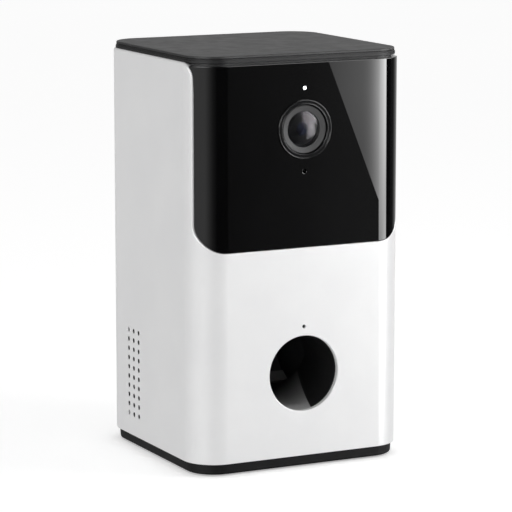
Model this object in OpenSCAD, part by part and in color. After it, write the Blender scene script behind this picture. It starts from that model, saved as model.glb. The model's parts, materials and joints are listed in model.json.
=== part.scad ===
// Treat tossing pet camera: a free-standing tower with a camera behind a dark wrap-around window,
// a lift-off lid over a treat bin, a metering wheel under the bin that drops one portion at a time,
// and a turning paddle that throws it out of a round outlet in the front.
// The front faces -Y, +X is to the right seen from the front, and +Z is up.
// The origin is on the floor under the middle of the body. All sizes are in millimetres.

/* [Body] */
// Width of the body
body_w = 133; // [130:1:138]
// Depth of the body, front to back
body_d = 126; // [124:1:130]
// Radius of the four upright corners
corner_r = 19; // [18:0.5:20]
// Thickness of the white outer shell
shell_wall = 3; // [2.8:0.1:3.2]
// Height of the white outer shell
shell_h = 225; // [224:1:230]
// Height of the dark base under the shell
base_h = 6.2; // [5:0.1:6.6]
// How far the rubber feet stand proud of the base
foot_proud = 0.8; // [0.5:0.1:1]
// Height of the lid above the shell's rim
lid_h = 3.8; // [3.4:0.1:4]

/* [Front window] */
// Height of the window's lower edge above the shell's lower edge
window_low = 119.8; // [116:0.2:122]
// How far round each corner the window wraps, in degrees from the front
window_wrap = 61; // [50:1:64]
// Radius of the window's lower corners, seen from the front
window_corner_r = 15.5; // [10:0.5:18]
// Thickness of the window
window_t = 2.5; // [2:0.1:2.6]
// Gap all round between the window and the shell
window_seam = 0.25; // [0.15:0.05:0.4]
// Radius of the shell's upper corner beside the window, seen from the side
shoulder_r = 8.8; // [6:0.2:10]

/* [Camera] */
// Height of the lens above the shell's lower edge
lens_up = 186.2; // [182:0.2:188]
// Outer diameter of the lens bezel
bezel_d = 33.2; // [33:0.2:36]
// Outer diameter of the grey ring round the glass
ring_d = 27.2; // [27:0.2:28]
// Diameter of the domed front glass
glass_d = 19.8; // [19:0.2:20.6]
// Number of infrared lamps round the lens
lamps = 8; // [4:4:8]

/* [Treat outlet] */
// Height of the outlet above the shell's lower edge
outlet_up = 47.6; // [46:0.1:48]
// Diameter of the outlet
outlet_d = 43.2; // [40:0.1:43.6]

/* [Speaker grille] */
// Columns of holes in the grille
grille_columns = 3; // [2:1:3]
// Rows of holes in the grille
grille_rows = 10; // [6:1:10]
// Diameter of one hole
grille_hole_d = 2.8; // [1.6:0.2:3]
// Distance between rows
grille_row_pitch = 5.5; // [5:0.1:5.6]
// Distance between columns
grille_column_pitch = 6.8; // [5:0.2:7]
// Thickness of the shell between the grille's holes
grille_wall = 0.8; // [0.6:0.1:3]

/* [Metering drive] */
// Module of the gears
gear_module = 0.8; // [0.8:0.1:0.8]
// Teeth on the metering wheel's gear
wheel_teeth = 28; // [28:1:28]
// Teeth on the idler gear
idler_teeth = 24; // [24:1:24]
// Teeth on the motor's pinion
pinion_teeth = 12; // [12:1:12]
// Vanes on the metering wheel
vanes = 6; // [5:1:8]

/* [Hidden] */
$fn = 64;
through = 1; // how far a cutter runs past the face that it cuts

// Main levels and faces
z_base = foot_proud;
z_shell = z_base + base_h;
z_rim = z_shell + shell_h;
z_top = z_rim + lid_h;
front_y = -body_d / 2;
back_y = body_d / 2;
side_x = body_w / 2;
inner_x = side_x - shell_wall;
inner_back = back_y - shell_wall;
corner_x = side_x - corner_r;
corner_y = back_y - corner_r;

// Fasteners
pilot_r = 1.25;
clear_r = 1.7;
screw_head_r = 2.8;
screw_head_t = 1.8;
boss_r = 4.2;

// Base: its side stands in from the shell, with a little draft and a round lower edge
base_inset = 1.8;
base_draft = 0.3;
base_round = 1;
base_floor_top = z_base + 2.5;
spigot_inset = shell_wall + 0.3;
spigot_wall = 2;
spigot_top = z_shell + 4.4;
base_boss_reach = 11;
base_boss_top = spigot_top + 0.4;
shell_boss_h = 20;
base_screw_seat = z_base + 4;
foot_x = 44;
foot_y = 40;
foot_r = 7;
foot_recess = 1.2;

// Window, its frame and the edge of the shell beside it
window_z = z_shell + window_low;
window_top = z_rim - 1.5;
frame_inset = shell_wall + 0.1;
frame_t = 2;
frame_overlap = 5;
frame_wrap = window_wrap + 15;
frame_land_margin = 0.8;
shoulder_z = z_rim - shoulder_r;
window_edge_y = front_y + corner_r - corner_r * cos(window_wrap);
shoulder_y = window_edge_y + window_seam * sin(window_wrap) + shoulder_r - 0.02;

// Camera parts, placed by their depth behind the window's front face
lens_z = z_shell + lens_up;
status_z = z_shell + 209.4;
microphone_z = z_shell + 162.7;
outlet_sensor_z = z_shell + 74.5;
outlet_sensor_r = 1.1;
bezel_r = bezel_d / 2;
bezel_tube_r = bezel_r - 1.5;
bezel_bore_r = ring_d / 2 + 0.4;
ring_r = ring_d / 2;
ring_bore_r = glass_d / 2 + 0.3;
barrel_r = glass_d / 2 - 0.6;
glass_sag = 2.2;
glass_edge_depth = 1.5;
glass_back_depth = 4;
bezel_depth = 7;
stop_depth = 7.3;
rear_lens_r = 4;
rear_lens_back = 9.8;
holder_depth = 9;
holder_w = 24;
board_depth = 17;
board_t = 1.6;
camera_board_w = 56;
camera_board_low = z_shell + 154;
camera_board_h = 61;
camera_post_x = 25;
camera_post_rise = 4;
lamp_circle_r = 22;
lamp_r = 2.5;
lamp_depth = 6.2;
status_r = 1;
microphone_r = 3;
microphone_hole_r = 1.2;

// Lid: a cover over a flanged liner, with a groove between the two round the edge
lid_gap = 0.1;
lid_inset = 1.5;
lid_edge_r = 0.6;
flange_inset = 1.1;
flange_t = 2.2;
flange_ledge = 0.4;
flange_ledge_h = 0.8;
groove_h = 0.25;
groove_deep = 1;
z_lid = z_rim + lid_gap;
cover_z = z_lid + flange_t + groove_h;
liner_gap = 1.2;
liner_t = 2;
liner_deep = 14;
seal_gap = 0.35;

// Treat bin: deck, box, funnel and the round well over the metering wheel
deck_t = 2.4;
deck_top = z_rim - 2.8;
deck_z = deck_top - deck_t;
deck_inset = shell_wall + 0.3;
deck_front_inset = frame_inset + frame_t + 0.4;
deck_wide_from = -46;
bin_w = 121;
bin_d = 90;
bin_r = 26;
bin_y = 12;
bin_wall = 2;
funnel_top = z_shell + 143.8;
well_y = 2;
well_r = 44;
well_wall = 2.5;
well_top = z_shell + 113.8;
well_floor_z = z_shell + 97.8;
well_floor_t = 3;
bin_lug_reach = 12.3;
bin_lug_drop = 10;
bin_lug_t = 3.2;
side_lug_x = inner_x - 5.5;
side_lug_y = -38;

// Drop port in the well's floor, and the guard over it
port_half_w = 11.5;
port_front = 17;
port_back = 38;
guard_t = 1.8;
guard_top = well_top - 0.2;
guard_inner_r = 14.5;
guard_half_angle = 34;
guard_tongue_angle = 10;

// Metering wheel, its shaft and gears
wheel_gap = 0.6;
wheel_z = well_floor_z + well_floor_t + 0.5;
wheel_h = 10;
hub_r = 13;
vane_t = 2.6;
finger_r = 2.2;
finger_orbit = 9;
finger_top = z_shell + 127.8;
shaft_r = 3;
running_gap = 0.05;
gear_z = z_shell + 90.3;
gear_h = 6;
pressure_angle = 25;
backlash = 0.16;
mesh_slack = 0.05;
idler_x = -(gear_module * (wheel_teeth + idler_teeth) / 2 + mesh_slack);
pinion_x = idler_x - (gear_module * (idler_teeth + pinion_teeth) / 2 + mesh_slack);
idler_pin_r = 1.5;
bracket_z = z_shell + 88.4;
bracket_t = 1.5;
bracket_post_y = 11.5;
gearmotor_r = 8;
gearmotor_h = 25;

// Launch chamber: a drum across the body, whose floor runs out into the chute
outlet_r = outlet_d / 2;
outlet_z = z_shell + outlet_up;
chamber_r = 30.4;
chamber_wall = 2.6;
chamber_half_w = 21.6;
chamber_side_x = chamber_half_w + chamber_wall;
chamber_y = 8;
chamber_z = outlet_z - outlet_r + chamber_r - 0.2;
channel_wall = 2.4;
channel_top = well_floor_z - 0.4;
chute_wall = 2;
chute_gap = 0.2;
chute_back = -2;
chute_flange_r = outlet_r + chute_wall + 1.4;
ear_r = 4;
ear_len = 8;
ear_angles = [-75, -25, 140];
chamber_foot_y = [-14, 26];
chamber_foot_x = chamber_side_x + 5.6;
chamber_foot_z = base_floor_top + 3;
chamber_foot_t = 3;
chamber_leg_w = 10;
leg_gusset_t = 2;
leg_gusset_reach = 2.8;

// Paddle, seen along its shaft
paddle_shaft_r = 2;
paddle_hub_r = 7;
paddle_half_w = 18;
paddle_tip_r = 26.4;
paddle_rubber_r = 29.4;
blade_curve_r = 24;
blade_t = 2.4;
rubber_t = 3.6;
rubber_overlap = 4;
paddle_angle = 65;
motor_r = 12.2;
motor_len = 30.6;
motor_socket = 6;

// Speaker behind the grille
speaker_y = inner_back - 36.7;
speaker_z = z_shell + 37.6;
speaker_w = 30;
speaker_h = 62;
grille_pocket_w = (grille_columns - 1) * grille_column_pitch + grille_hole_d + 4;
grille_pocket_h = (grille_rows - 1) * grille_row_pitch + grille_hole_d + 4;
gasket_t = 1;
speaker_frame_deep = 10.5;
speaker_ear_y = 19;
speaker_ear_x = -inner_x + 4.5;
speaker_ear_t = 2;
magnet_r = 11;
magnet_deep = 7;

// Main board, upright at the back, with the inlet and the reset switch on its rear face
main_board_y = back_y - 10.6;
main_board_back = main_board_y + board_t;
main_board_w = 92;
main_board_low = z_shell + 7.8;
main_board_h = 76;
main_post_x = 40;
main_post_rise = 6;
inlet_z = z_shell + 12;
inlet_w = 9.2;
inlet_h = 3.4;
reset_x = 16;
reset_z = z_shell + 28;
reset_r = 2;
reset_travel = 0.8;
ribbon_x = 14.2;
ribbon_w = 7.6;
ribbon_t = 0.5;
connector_h = 4;
connector_t = 2.4;
camera_connector_z = z_shell + 169.8;
main_connector_z = z_shell + 75.8;

// ---------------------------------------------------------------- outlines and small helpers

module rounded_outline(w, d, r) {
    square([w - 2 * r, d], center = true);
    square([w, d - 2 * r], center = true);
    for (x = [-1, 1], y = [-1, 1]) translate([x * (w / 2 - r), y * (d / 2 - r)]) circle(r);
}

module rounded_block(w, d, r, h) {
    linear_extrude(h) rounded_outline(w, d, r);
}

// The body's own outline, taken in by an even amount
module body_block(inset, h) {
    rounded_block(body_w - 2 * inset, body_d - 2 * inset, corner_r - inset, h);
}

module racetrack(w, h) {
    square([w, h - w], center = true);
    for (y = [-1, 1]) translate([0, y * (h - w) / 2]) circle(w / 2);
}

// A cylinder along Y that starts at y0 and runs to the back
module bar_y(x, y0, z, r, len) {
    translate([x, y0, z]) rotate([-90, 0, 0]) cylinder(h = len, r = r);
}

// A cylinder along X that starts at x0 and runs to the right
module bar_x(x0, y, z, r, len) {
    translate([x0, y, z]) rotate([0, 90, 0]) cylinder(h = len, r = r);
}

// An outline drawn in Y and Z, carried to the right from x0
module extrude_x(x0, len) {
    translate([x0, 0, 0]) rotate([90, 0, 90]) linear_extrude(len) children();
}

// A profile of radius and depth behind the window's front face, turned about a front-to-back axis
module turned_lens_part() {
    translate([0, front_y, lens_z]) rotate([90, 0, 0]) rotate_extrude() mirror([0, 1]) children();
}

// Something drawn upwards from the origin, laid down to run from depth towards the front
module at_depth(x, depth, z) {
    translate([x, front_y + depth, z]) rotate([90, 0, 0]) children();
}

// A pan-head screw that points up, with the underside of its head at z = 0
module screw(len) {
    cylinder(h = len, r = pilot_r, $fn = 24);
    difference() {
        translate([0, 0, -screw_head_t])
            cylinder(h = screw_head_t, r1 = screw_head_r - 0.5, r2 = screw_head_r, $fn = 32);
        for (a = [0, 90]) rotate([0, 0, a]) translate([-1.7, -0.35, -screw_head_t - 0.2]) cube([3.4, 0.7, 1]);
    }
}

// Places in the corners, a given reach out from the middle of each corner's arc, with +X turned outwards
module each_corner(reach, rows = [-1, 1]) {
    shift = reach / sqrt(2);
    for (x = [-1, 1], y = rows)
        translate([x * (corner_x + shift), y * (corner_y + shift), 0]) rotate([0, 0, atan2(y, x)]) children();
}

// ---------------------------------------------------------------- the window's shape

// Plan view of what lies in front of the two planes that end the window on its corners
module front_wedge(wrap, grow) {
    reach = 40;
    centre = [corner_x, -corner_y] + grow * [cos(wrap), sin(wrap)];
    tip = centre + reach * [sin(wrap), -cos(wrap)];
    ahead = front_y - 12;
    polygon([centre, tip, [tip[0], ahead], [-tip[0], ahead], [-tip[0], tip[1]], [-centre[0], centre[1]]]);
}

// Front view: straight sides and round lower corners, open above
module window_front_view(half, low, r) {
    tall = z_rim + 10 - low;
    translate([-half, low + r]) square([2 * half, tall - r]);
    translate([r - half, low]) square([2 * (half - r), tall]);
    for (x = [-1, 1]) translate([x * (half - r), low + r]) circle(r);
}

// Everything inside the window's outline, grown all round; inset is where on the corner it ends
module window_region(wrap, grow, inset, low_grow) {
    half = corner_x + (corner_r - inset) * sin(wrap) + grow + 0.05;
    intersection() {
        translate([0, 0, window_z - low_grow - through]) linear_extrude(shell_h) front_wedge(wrap, grow);
        translate([0, 4 - corner_y, 0]) rotate([90, 0, 0]) linear_extrude(40)
            window_front_view(half, window_z - low_grow, window_corner_r + low_grow);
    }
}

// A layer of the body's upright surface between two insets
module surface_layer(outer, inner, low, high) {
    difference() {
        translate([0, 0, low]) body_block(outer, high - low);
        translate([0, 0, low - through]) body_block(inner, high - low + 2 * through);
    }
}

// Where the shell's side walls round over to the rim, seen from the side and less a seam on the window
module shoulder_region(seam) {
    low = shoulder_z - through;
    extrude_x(-side_x - through, body_w + 2 * through) difference() {
        translate([front_y - through, low]) square([shoulder_y - front_y + through, z_rim + through - low]);
        translate([shoulder_y, shoulder_z]) circle(shoulder_r + seam);
        translate([shoulder_y - shoulder_r - seam, low - 1]) square([2 * shoulder_r, 1 + shoulder_z - low]);
    }
}

// ---------------------------------------------------------------- outer shell

module grille_places() {
    for (row = [0 : grille_rows - 1], column = [0 : grille_columns - 1])
        translate([0, speaker_y + (column - (grille_columns - 1) / 2) * grille_column_pitch,
            speaker_z + (row - (grille_rows - 1) / 2) * grille_row_pitch]) children();
}

// Bosses in the inner corners, each joined to the wall by a web
module corner_bosses(reach, z, h, web, rows = [-1, 1]) {
    each_corner(reach, rows) translate([0, 0, z]) {
        cylinder(h = h, r = boss_r, $fn = 32);
        translate([0, -web / 2, 0]) cube([corner_r - shell_wall + 0.6 - reach, web, h]);
    }
}

module main_post_places() {
    for (x = [-1, 1], z = [main_post_rise, main_board_h - main_post_rise])
        translate([x * main_post_x, 0, main_board_low + z]) children();
}

// The four places where screws hold the bin's deck to the shell's lugs
module bin_screw_places() {
    each_corner(bin_lug_reach, [1]) children();
    for (x = [-1, 1]) translate([x * side_lug_x, side_lug_y, 0]) children();
}

module speaker_screw_places() {
    for (y = [-1, 1]) translate([0, speaker_y + y * speaker_ear_y, speaker_z]) children();
}

module side_lugs() {
    for (x = [-1, 1]) translate([x * side_lug_x, side_lug_y, deck_z - bin_lug_drop - bin_lug_t]) {
        cylinder(h = bin_lug_t, r = boss_r, $fn = 32);
        translate([x > 0 ? 0 : side_lug_x - inner_x - 0.5, -boss_r, 0])
            cube([inner_x - side_lug_x + 0.5, 2 * boss_r, bin_lug_t]);
    }
}

module outer_shell() {
    color("white") difference() {
        union() {
            surface_layer(0, shell_wall, z_shell, z_rim);
            corner_bosses(base_boss_reach, base_boss_top, shell_boss_h, 2.4);
            corner_bosses(bin_lug_reach, deck_z - bin_lug_drop - bin_lug_t, bin_lug_t, 6, [1]);
            side_lugs();
            main_post_places() bar_y(0, main_board_back, 0, 3.2, inner_back + 0.5 - main_board_back);
            speaker_screw_places() bar_x(-inner_x - 0.5, 0, 0, 3.2, speaker_ear_x + inner_x + 0.5);
        }
        window_region(window_wrap, window_seam, 0, window_seam);
        shoulder_region(0);
        bar_y(0, front_y - through, outlet_z, outlet_r, shell_wall + 2 * through);
        bar_y(0, front_y - through, outlet_sensor_z, outlet_sensor_r, shell_wall + 2 * through);
        grille_places() bar_x(-side_x - through, 0, 0, grille_hole_d / 2, shell_wall + 2 * through);
        translate([0, speaker_y, speaker_z]) extrude_x(-side_x + grille_wall, shell_wall - grille_wall + 0.01)
            racetrack(grille_pocket_w, grille_pocket_h);
        translate([0, inner_back - through, inlet_z]) rotate([-90, 90, 0])
            linear_extrude(shell_wall + 2 * through) racetrack(inlet_h + 1, inlet_w + 1);
        bar_y(reset_x, inner_back - through, reset_z, reset_r + 0.3, shell_wall + 2 * through);
        each_corner(base_boss_reach) translate([0, 0, base_boss_top - through])
            cylinder(h = 15, r = pilot_r, $fn = 24);
        bin_screw_places() translate([0, 0, deck_z - bin_lug_drop - bin_lug_t - through])
            cylinder(h = bin_lug_t + 2 * through, r = clear_r, $fn = 24);
        main_post_places() bar_y(0, main_board_back - through, 0, pilot_r, 7);
        speaker_screw_places() bar_x(-inner_x, 0, 0, pilot_r, 8);
    }
}

// ---------------------------------------------------------------- base, feet and their screws

module base_skirt() {
    layers = [[z_shell - 0.1, 0], [z_base + base_round, base_draft],
        [z_base + 0.3 * base_round, base_draft + 0.3 * base_round], [z_base, base_draft + 0.9 * base_round]];
    hull() for (layer = layers)
        translate([0, 0, layer[0]]) body_block(base_inset + layer[1], 0.1, $fn = 48);
}

module each_foot() {
    for (x = [-1, 1], y = [-1, 1]) translate([x * foot_x, y * foot_y, 0]) children();
}

module each_chamber_foot() {
    for (x = [-1, 1], y = chamber_foot_y) translate([x * chamber_foot_x, y, 0]) children();
}

module base_ribs(z, h) {
    for (x = [-16, 16]) translate([x - 0.8, -52, z]) cube([1.6, 104, h]);
    for (y = [-30, 6, 44]) translate([-56, y - 0.8, z]) cube([112, 1.6, h]);
}

module base_plate() {
    rise = base_floor_top - 0.5;
    color("#1c1c1e") difference() {
        union() {
            difference() {
                union() {
                    base_skirt();
                    translate([0, 0, z_shell - 0.6]) body_block(spigot_inset, spigot_top - z_shell + 0.6);
                }
                translate([0, 0, base_floor_top]) body_block(spigot_inset + spigot_wall, 20);
            }
            base_ribs(rise, 2.5);
            each_corner(base_boss_reach) translate([0, 0, rise])
                cylinder(h = base_boss_top - rise, r = boss_r, $fn = 32);
            each_foot() translate([0, 0, rise]) cylinder(h = 1.7, r = foot_r + 2);
            each_chamber_foot() translate([0, 0, rise]) cylinder(h = chamber_foot_z - rise, r = 4, $fn = 32);
        }
        each_foot() translate([0, 0, z_base - through]) cylinder(h = through + foot_recess, r = foot_r + 0.1);
        each_corner(base_boss_reach) {
            translate([0, 0, z_base - through]) cylinder(h = 20, r = clear_r, $fn = 24);
            translate([0, 0, z_base - through])
                cylinder(h = base_screw_seat - z_base + through, r = screw_head_r + 0.3, $fn = 32);
        }
        each_chamber_foot() translate([0, 0, z_base + 1]) cylinder(h = 10, r = pilot_r, $fn = 24);
    }
}

module rubber_feet() {
    edge = 0.4;
    color("#2c2c2e") each_foot() {
        cylinder(h = edge, r1 = foot_r - edge, r2 = foot_r);
        translate([0, 0, edge]) cylinder(h = foot_proud + foot_recess - edge, r = foot_r);
    }
}

module base_screws() {
    color("silver") each_corner(base_boss_reach) translate([0, 0, base_screw_seat]) screw(13);
}

// ---------------------------------------------------------------- window and its frame

module front_window() {
    color("#0a0a0c") difference() {
        intersection() {
            surface_layer(0, window_t, window_z - through, window_top);
            union() {
                window_region(window_wrap, 0, 0, 0);
                shoulder_region(window_seam);
            }
        }
        bar_y(0, front_y - through, lens_z, bezel_tube_r, window_t + 2 * through);
        bar_y(0, front_y - through, status_z, status_r, window_t + 2 * through);
        bar_y(0, front_y - through, microphone_z, microphone_hole_r, window_t + 2 * through);
    }
}

module lamp_places() {
    for (k = [0 : lamps - 1]) {
        angle = (k + 0.5) * 360 / lamps;
        translate([lamp_circle_r * cos(angle), 0, lens_z + lamp_circle_r * sin(angle)]) children();
    }
}

module camera_post_places() {
    for (x = [-1, 1], z = [camera_post_rise, camera_board_h - camera_post_rise])
        translate([x * camera_post_x, 0, camera_board_low + z]) children();
}

module window_frame() {
    plate_back = frame_inset + frame_t;
    margin = frame_land_margin;
    color("#161618") difference() {
        union() {
            intersection() {
                surface_layer(frame_inset, plate_back, window_z - 2 * frame_overlap, z_rim - 0.3);
                window_region(frame_wrap, 0, frame_inset, frame_overlap);
            }
            intersection() {
                surface_layer(window_t, frame_inset + 0.5, window_z - through, window_top - margin);
                window_region(window_wrap, -margin, 0, -margin);
            }
            camera_post_places() at_depth(0, board_depth, 0)
                cylinder(h = board_depth - plate_back + 0.4, r = 3, $fn = 32);
        }
        bar_y(0, front_y, lens_z, bezel_tube_r, plate_back + through);
        bar_y(0, front_y, status_z, status_r, plate_back + through);
        bar_y(0, front_y, microphone_z, microphone_hole_r, plate_back + through);
        lamp_places() bar_y(0, front_y, 0, lamp_r + 0.2, plate_back + through);
        camera_post_places() bar_y(0, front_y + plate_back + 3, 0, pilot_r, board_depth);
    }
}

// ---------------------------------------------------------------- camera
// Profiles here are points of radius and depth behind the window's front face

module lens_bezel() {
    lip = 0.8;
    color("#2a2a2c") turned_lens_part() polygon([
        [bezel_bore_r, bezel_depth], [bezel_tube_r, bezel_depth], [bezel_tube_r, 0], [bezel_r, 0],
        [bezel_r, -lip / 2], [bezel_r - 0.4, -lip], [bezel_tube_r + 0.2, -lip],
        [bezel_tube_r - 0.1, -lip / 2], [bezel_bore_r + 0.4, -lip / 2], [bezel_bore_r, 0.2]]);
}

module lens_ring() {
    color("#6e6e70") turned_lens_part() polygon([
        [barrel_r, glass_back_depth + 1], [barrel_r, glass_back_depth], [ring_bore_r, glass_back_depth],
        [ring_bore_r, glass_edge_depth - 0.2], [ring_r - 0.5, 0.2], [ring_r, 0.6],
        [ring_r, bezel_depth - 1], [bezel_bore_r, bezel_depth - 1], [bezel_bore_r, bezel_depth],
        [ring_bore_r, bezel_depth], [ring_bore_r, glass_back_depth + 1]]);
}

module lens_glass() {
    glass_r = glass_d / 2;
    dome_r = (glass_r * glass_r + glass_sag * glass_sag) / (2 * glass_sag);
    dome_depth = glass_edge_depth - glass_sag + dome_r;
    color("#182038") intersection() {
        at_depth(0, glass_back_depth, lens_z) cylinder(h = glass_back_depth + 5, r = glass_r);
        at_depth(0, dome_depth, lens_z) sphere(dome_r, $fn = 96);
    }
}

// The barrel narrows behind the front glass to a raised ring, which holds the rear lens
module lens_barrel() {
    start = glass_back_depth + 0.2;
    end = board_depth - 2;
    color("#101012") turned_lens_part() polygon([
        [barrel_r, start], [barrel_r, end], [6.5, end], [6.5, rear_lens_back + 0.6],
        [rear_lens_r, rear_lens_back], [rear_lens_r, stop_depth], [rear_lens_r + 0.7, stop_depth],
        [rear_lens_r + 1.2, stop_depth + 0.5], [8.2, start + 1], [8.6, start]]);
}

module rear_lens() {
    dome_r = 8.9;
    hollow_r = 6;
    color("#20304c") difference() {
        intersection() {
            at_depth(0, rear_lens_back, lens_z) cylinder(h = 6, r = rear_lens_r - 0.05);
            at_depth(0, stop_depth + 0.4 + dome_r, lens_z) sphere(dome_r, $fn = 96);
        }
        at_depth(0, rear_lens_back - 0.6 + hollow_r, lens_z) sphere(hollow_r, $fn = 64);
    }
}

module lens_holder() {
    h = board_depth - holder_depth;
    pin_reach = holder_w / 2 - 2.2;
    color("#1a1a1c") difference() {
        at_depth(0, board_depth, lens_z) linear_extrude(h) rounded_outline(holder_w, holder_w, 2);
        at_depth(0, board_depth + through, lens_z) cylinder(h = h + 2 * through, r = barrel_r);
        for (x = [-1, 1]) at_depth(x * pin_reach, board_depth + through, lens_z - x * pin_reach)
            cylinder(h = 6, r = 0.8, $fn = 24);
    }
}

module image_sensor() {
    color("#3c5c4c") translate([-4.5, front_y + board_depth - 1.2, lens_z - 3.5]) cube([9, 1.2, 7]);
}

module camera_board() {
    color("#144d38") difference() {
        translate([-camera_board_w / 2, front_y + board_depth, camera_board_low])
            cube([camera_board_w, board_t, camera_board_h]);
        camera_post_places() bar_y(0, front_y + board_depth - through, 0, clear_r, board_t + 2 * through);
    }
}

module infrared_lamps() {
    color("#3a3038") lamp_places() {
        at_depth(0, board_depth, 0) cylinder(h = 1, r = lamp_r + 0.4, $fn = 32);
        at_depth(0, board_depth - 1, 0)
            cylinder(h = board_depth - 1 - lamp_depth - lamp_r, r = lamp_r, $fn = 32);
        intersection() {
            at_depth(0, lamp_depth + lamp_r, 0) sphere(lamp_r, $fn = 32);
            at_depth(0, lamp_depth + lamp_r, 0) cylinder(h = 2 * lamp_r, r = 2 * lamp_r);
        }
    }
}

module status_light() {
    color("white") {
        at_depth(0, board_depth - 1, status_z) cylinder(h = board_depth - 1, r = status_r, $fn = 32);
        translate([-1.6, front_y + board_depth - 1, status_z - 1.6]) cube([3.2, 1, 3.2]);
    }
}

module camera_microphone() {
    color("#303030") difference() {
        at_depth(0, board_depth, microphone_z)
            cylinder(h = board_depth - frame_inset - frame_t, r = microphone_r);
        at_depth(0, board_depth - 5, microphone_z) cylinder(h = board_depth, r = microphone_hole_r);
    }
}

module camera_screws() {
    color("silver") camera_post_places()
        at_depth(0, board_depth + board_t, 0) screw(10);
}

module outlet_sensor() {
    color("#2a2a30") {
        translate([-4, front_y + shell_wall, outlet_sensor_z - 1.6]) cube([8, 5, 5]);
        bar_y(0, front_y + 1.2, outlet_sensor_z, outlet_sensor_r, shell_wall);
    }
}

// ---------------------------------------------------------------- lid

module lid_cover() {
    flat_h = z_top - lid_edge_r - cover_z;
    color("#3a3a3c") {
        hull() {
            translate([0, 0, cover_z]) body_block(lid_inset, flat_h, $fn = 96);
            for (k = [1 : 3]) {
                a = 30 * k;
                translate([0, 0, z_top - lid_edge_r + lid_edge_r * sin(a) - 0.02])
                    body_block(lid_inset + lid_edge_r * (1 - cos(a)), 0.02, $fn = 96);
            }
        }
        translate([0, 0, cover_z - groove_h]) body_block(lid_inset + groove_deep, groove_h + 0.2);
    }
}

module bin_mouth_outline(inset) {
    translate([0, bin_y]) rounded_outline(bin_w - 2 * inset, bin_d - 2 * inset, bin_r - inset);
}

module lid_liner() {
    outer = bin_wall + liner_gap;
    color("#4a4a4c") difference() {
        union() {
            translate([0, 0, z_lid]) body_block(flange_inset + flange_ledge, flange_t);
            translate([0, 0, z_lid]) body_block(flange_inset, flange_t - flange_ledge_h);
            translate([0, 0, z_lid - liner_deep]) linear_extrude(liner_deep + 0.1) bin_mouth_outline(outer);
        }
        translate([0, 0, z_lid - liner_deep + liner_t])
            linear_extrude(liner_deep + flange_t) bin_mouth_outline(outer + liner_t);
    }
}

module lid_seal() {
    low = z_lid - 8;
    color("#8a8a8c") difference() {
        translate([0, 0, low]) linear_extrude(3) bin_mouth_outline(bin_wall + seal_gap);
        translate([0, 0, low - through]) linear_extrude(5) bin_mouth_outline(bin_wall + liner_gap);
    }
}

// ---------------------------------------------------------------- treat bin

module bin_hollow(inset, low) {
    round_r = well_r + well_wall - inset * well_wall / bin_wall;
    translate([0, 0, funnel_top]) linear_extrude(shell_h) bin_mouth_outline(inset);
    hull() {
        translate([0, 0, funnel_top]) linear_extrude(0.1) bin_mouth_outline(inset);
        translate([0, well_y, well_top]) cylinder(h = 0.1, r = round_r);
    }
    translate([0, well_y, low]) cylinder(h = well_top + 0.1 - low, r = round_r);
}

module port_outline() {
    translate([-port_half_w, port_front]) square([2 * port_half_w, port_back - port_front]);
}

// A sector about the well's axis, opening towards the back
module well_sector(inner, outer, half_angle) {
    reach = outer * 2;
    intersection() {
        difference() {
            circle(outer);
            circle(inner);
        }
        polygon([[0, 0], [reach * sin(half_angle), reach * cos(half_angle)], [0, reach],
            [-reach * sin(half_angle), reach * cos(half_angle)]]);
    }
}

module treat_bin() {
    color("#e8e8e6") difference() {
        union() {
            intersection() {
                bin_hollow(0, well_floor_z);
                translate([-100, -100, 0]) cube([200, 200, deck_top]);
            }
            translate([0, 0, deck_z]) body_block(deck_front_inset, deck_t);
            intersection() {
                translate([0, 0, deck_z]) body_block(deck_inset, deck_t);
                translate([-100, deck_wide_from, deck_z - 1]) cube([200, 200, 10]);
            }
            bin_screw_places() translate([0, 0, deck_z - bin_lug_drop])
                cylinder(h = bin_lug_drop + 0.5, r = boss_r - 0.5, $fn = 32);
        }
        bin_hollow(bin_wall, well_floor_z + well_floor_t);
        translate([0, 0, well_floor_z - through]) linear_extrude(10) port_outline();
        translate([0, well_y, guard_top - guard_t]) linear_extrude(guard_t)
            well_sector(well_r - 1, well_r + 5, guard_tongue_angle);
        translate([0, well_y, well_floor_z - through]) cylinder(h = 10, r = shaft_r + 2.5);
        translate([idler_x, well_y, well_floor_z - through]) cylinder(h = 3, r = idler_pin_r, $fn = 24);
        for (y = [-1, 1]) translate([pinion_x, well_y + y * bracket_post_y, well_floor_z - through])
            cylinder(h = 3.5, r = pilot_r, $fn = 24);
        bin_screw_places() translate([0, 0, deck_z - bin_lug_drop - through])
            cylinder(h = 9, r = pilot_r, $fn = 24);
    }
}

module bin_screws() {
    color("silver") {
        bin_screw_places() translate([0, 0, deck_z - bin_lug_drop - bin_lug_t]) screw(11);
        for (y = [-1, 1]) translate([pinion_x, well_y + y * bracket_post_y, bracket_z]) screw(11.5);
    }
}

module port_guard() {
    color("#d8d8d6") translate([0, well_y, guard_top - guard_t]) linear_extrude(guard_t) {
        well_sector(guard_inner_r, well_r, guard_half_angle);
        well_sector(well_r - 1, well_r + well_wall, guard_tongue_angle);
    }
}

// ---------------------------------------------------------------- metering wheel and gears

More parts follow.
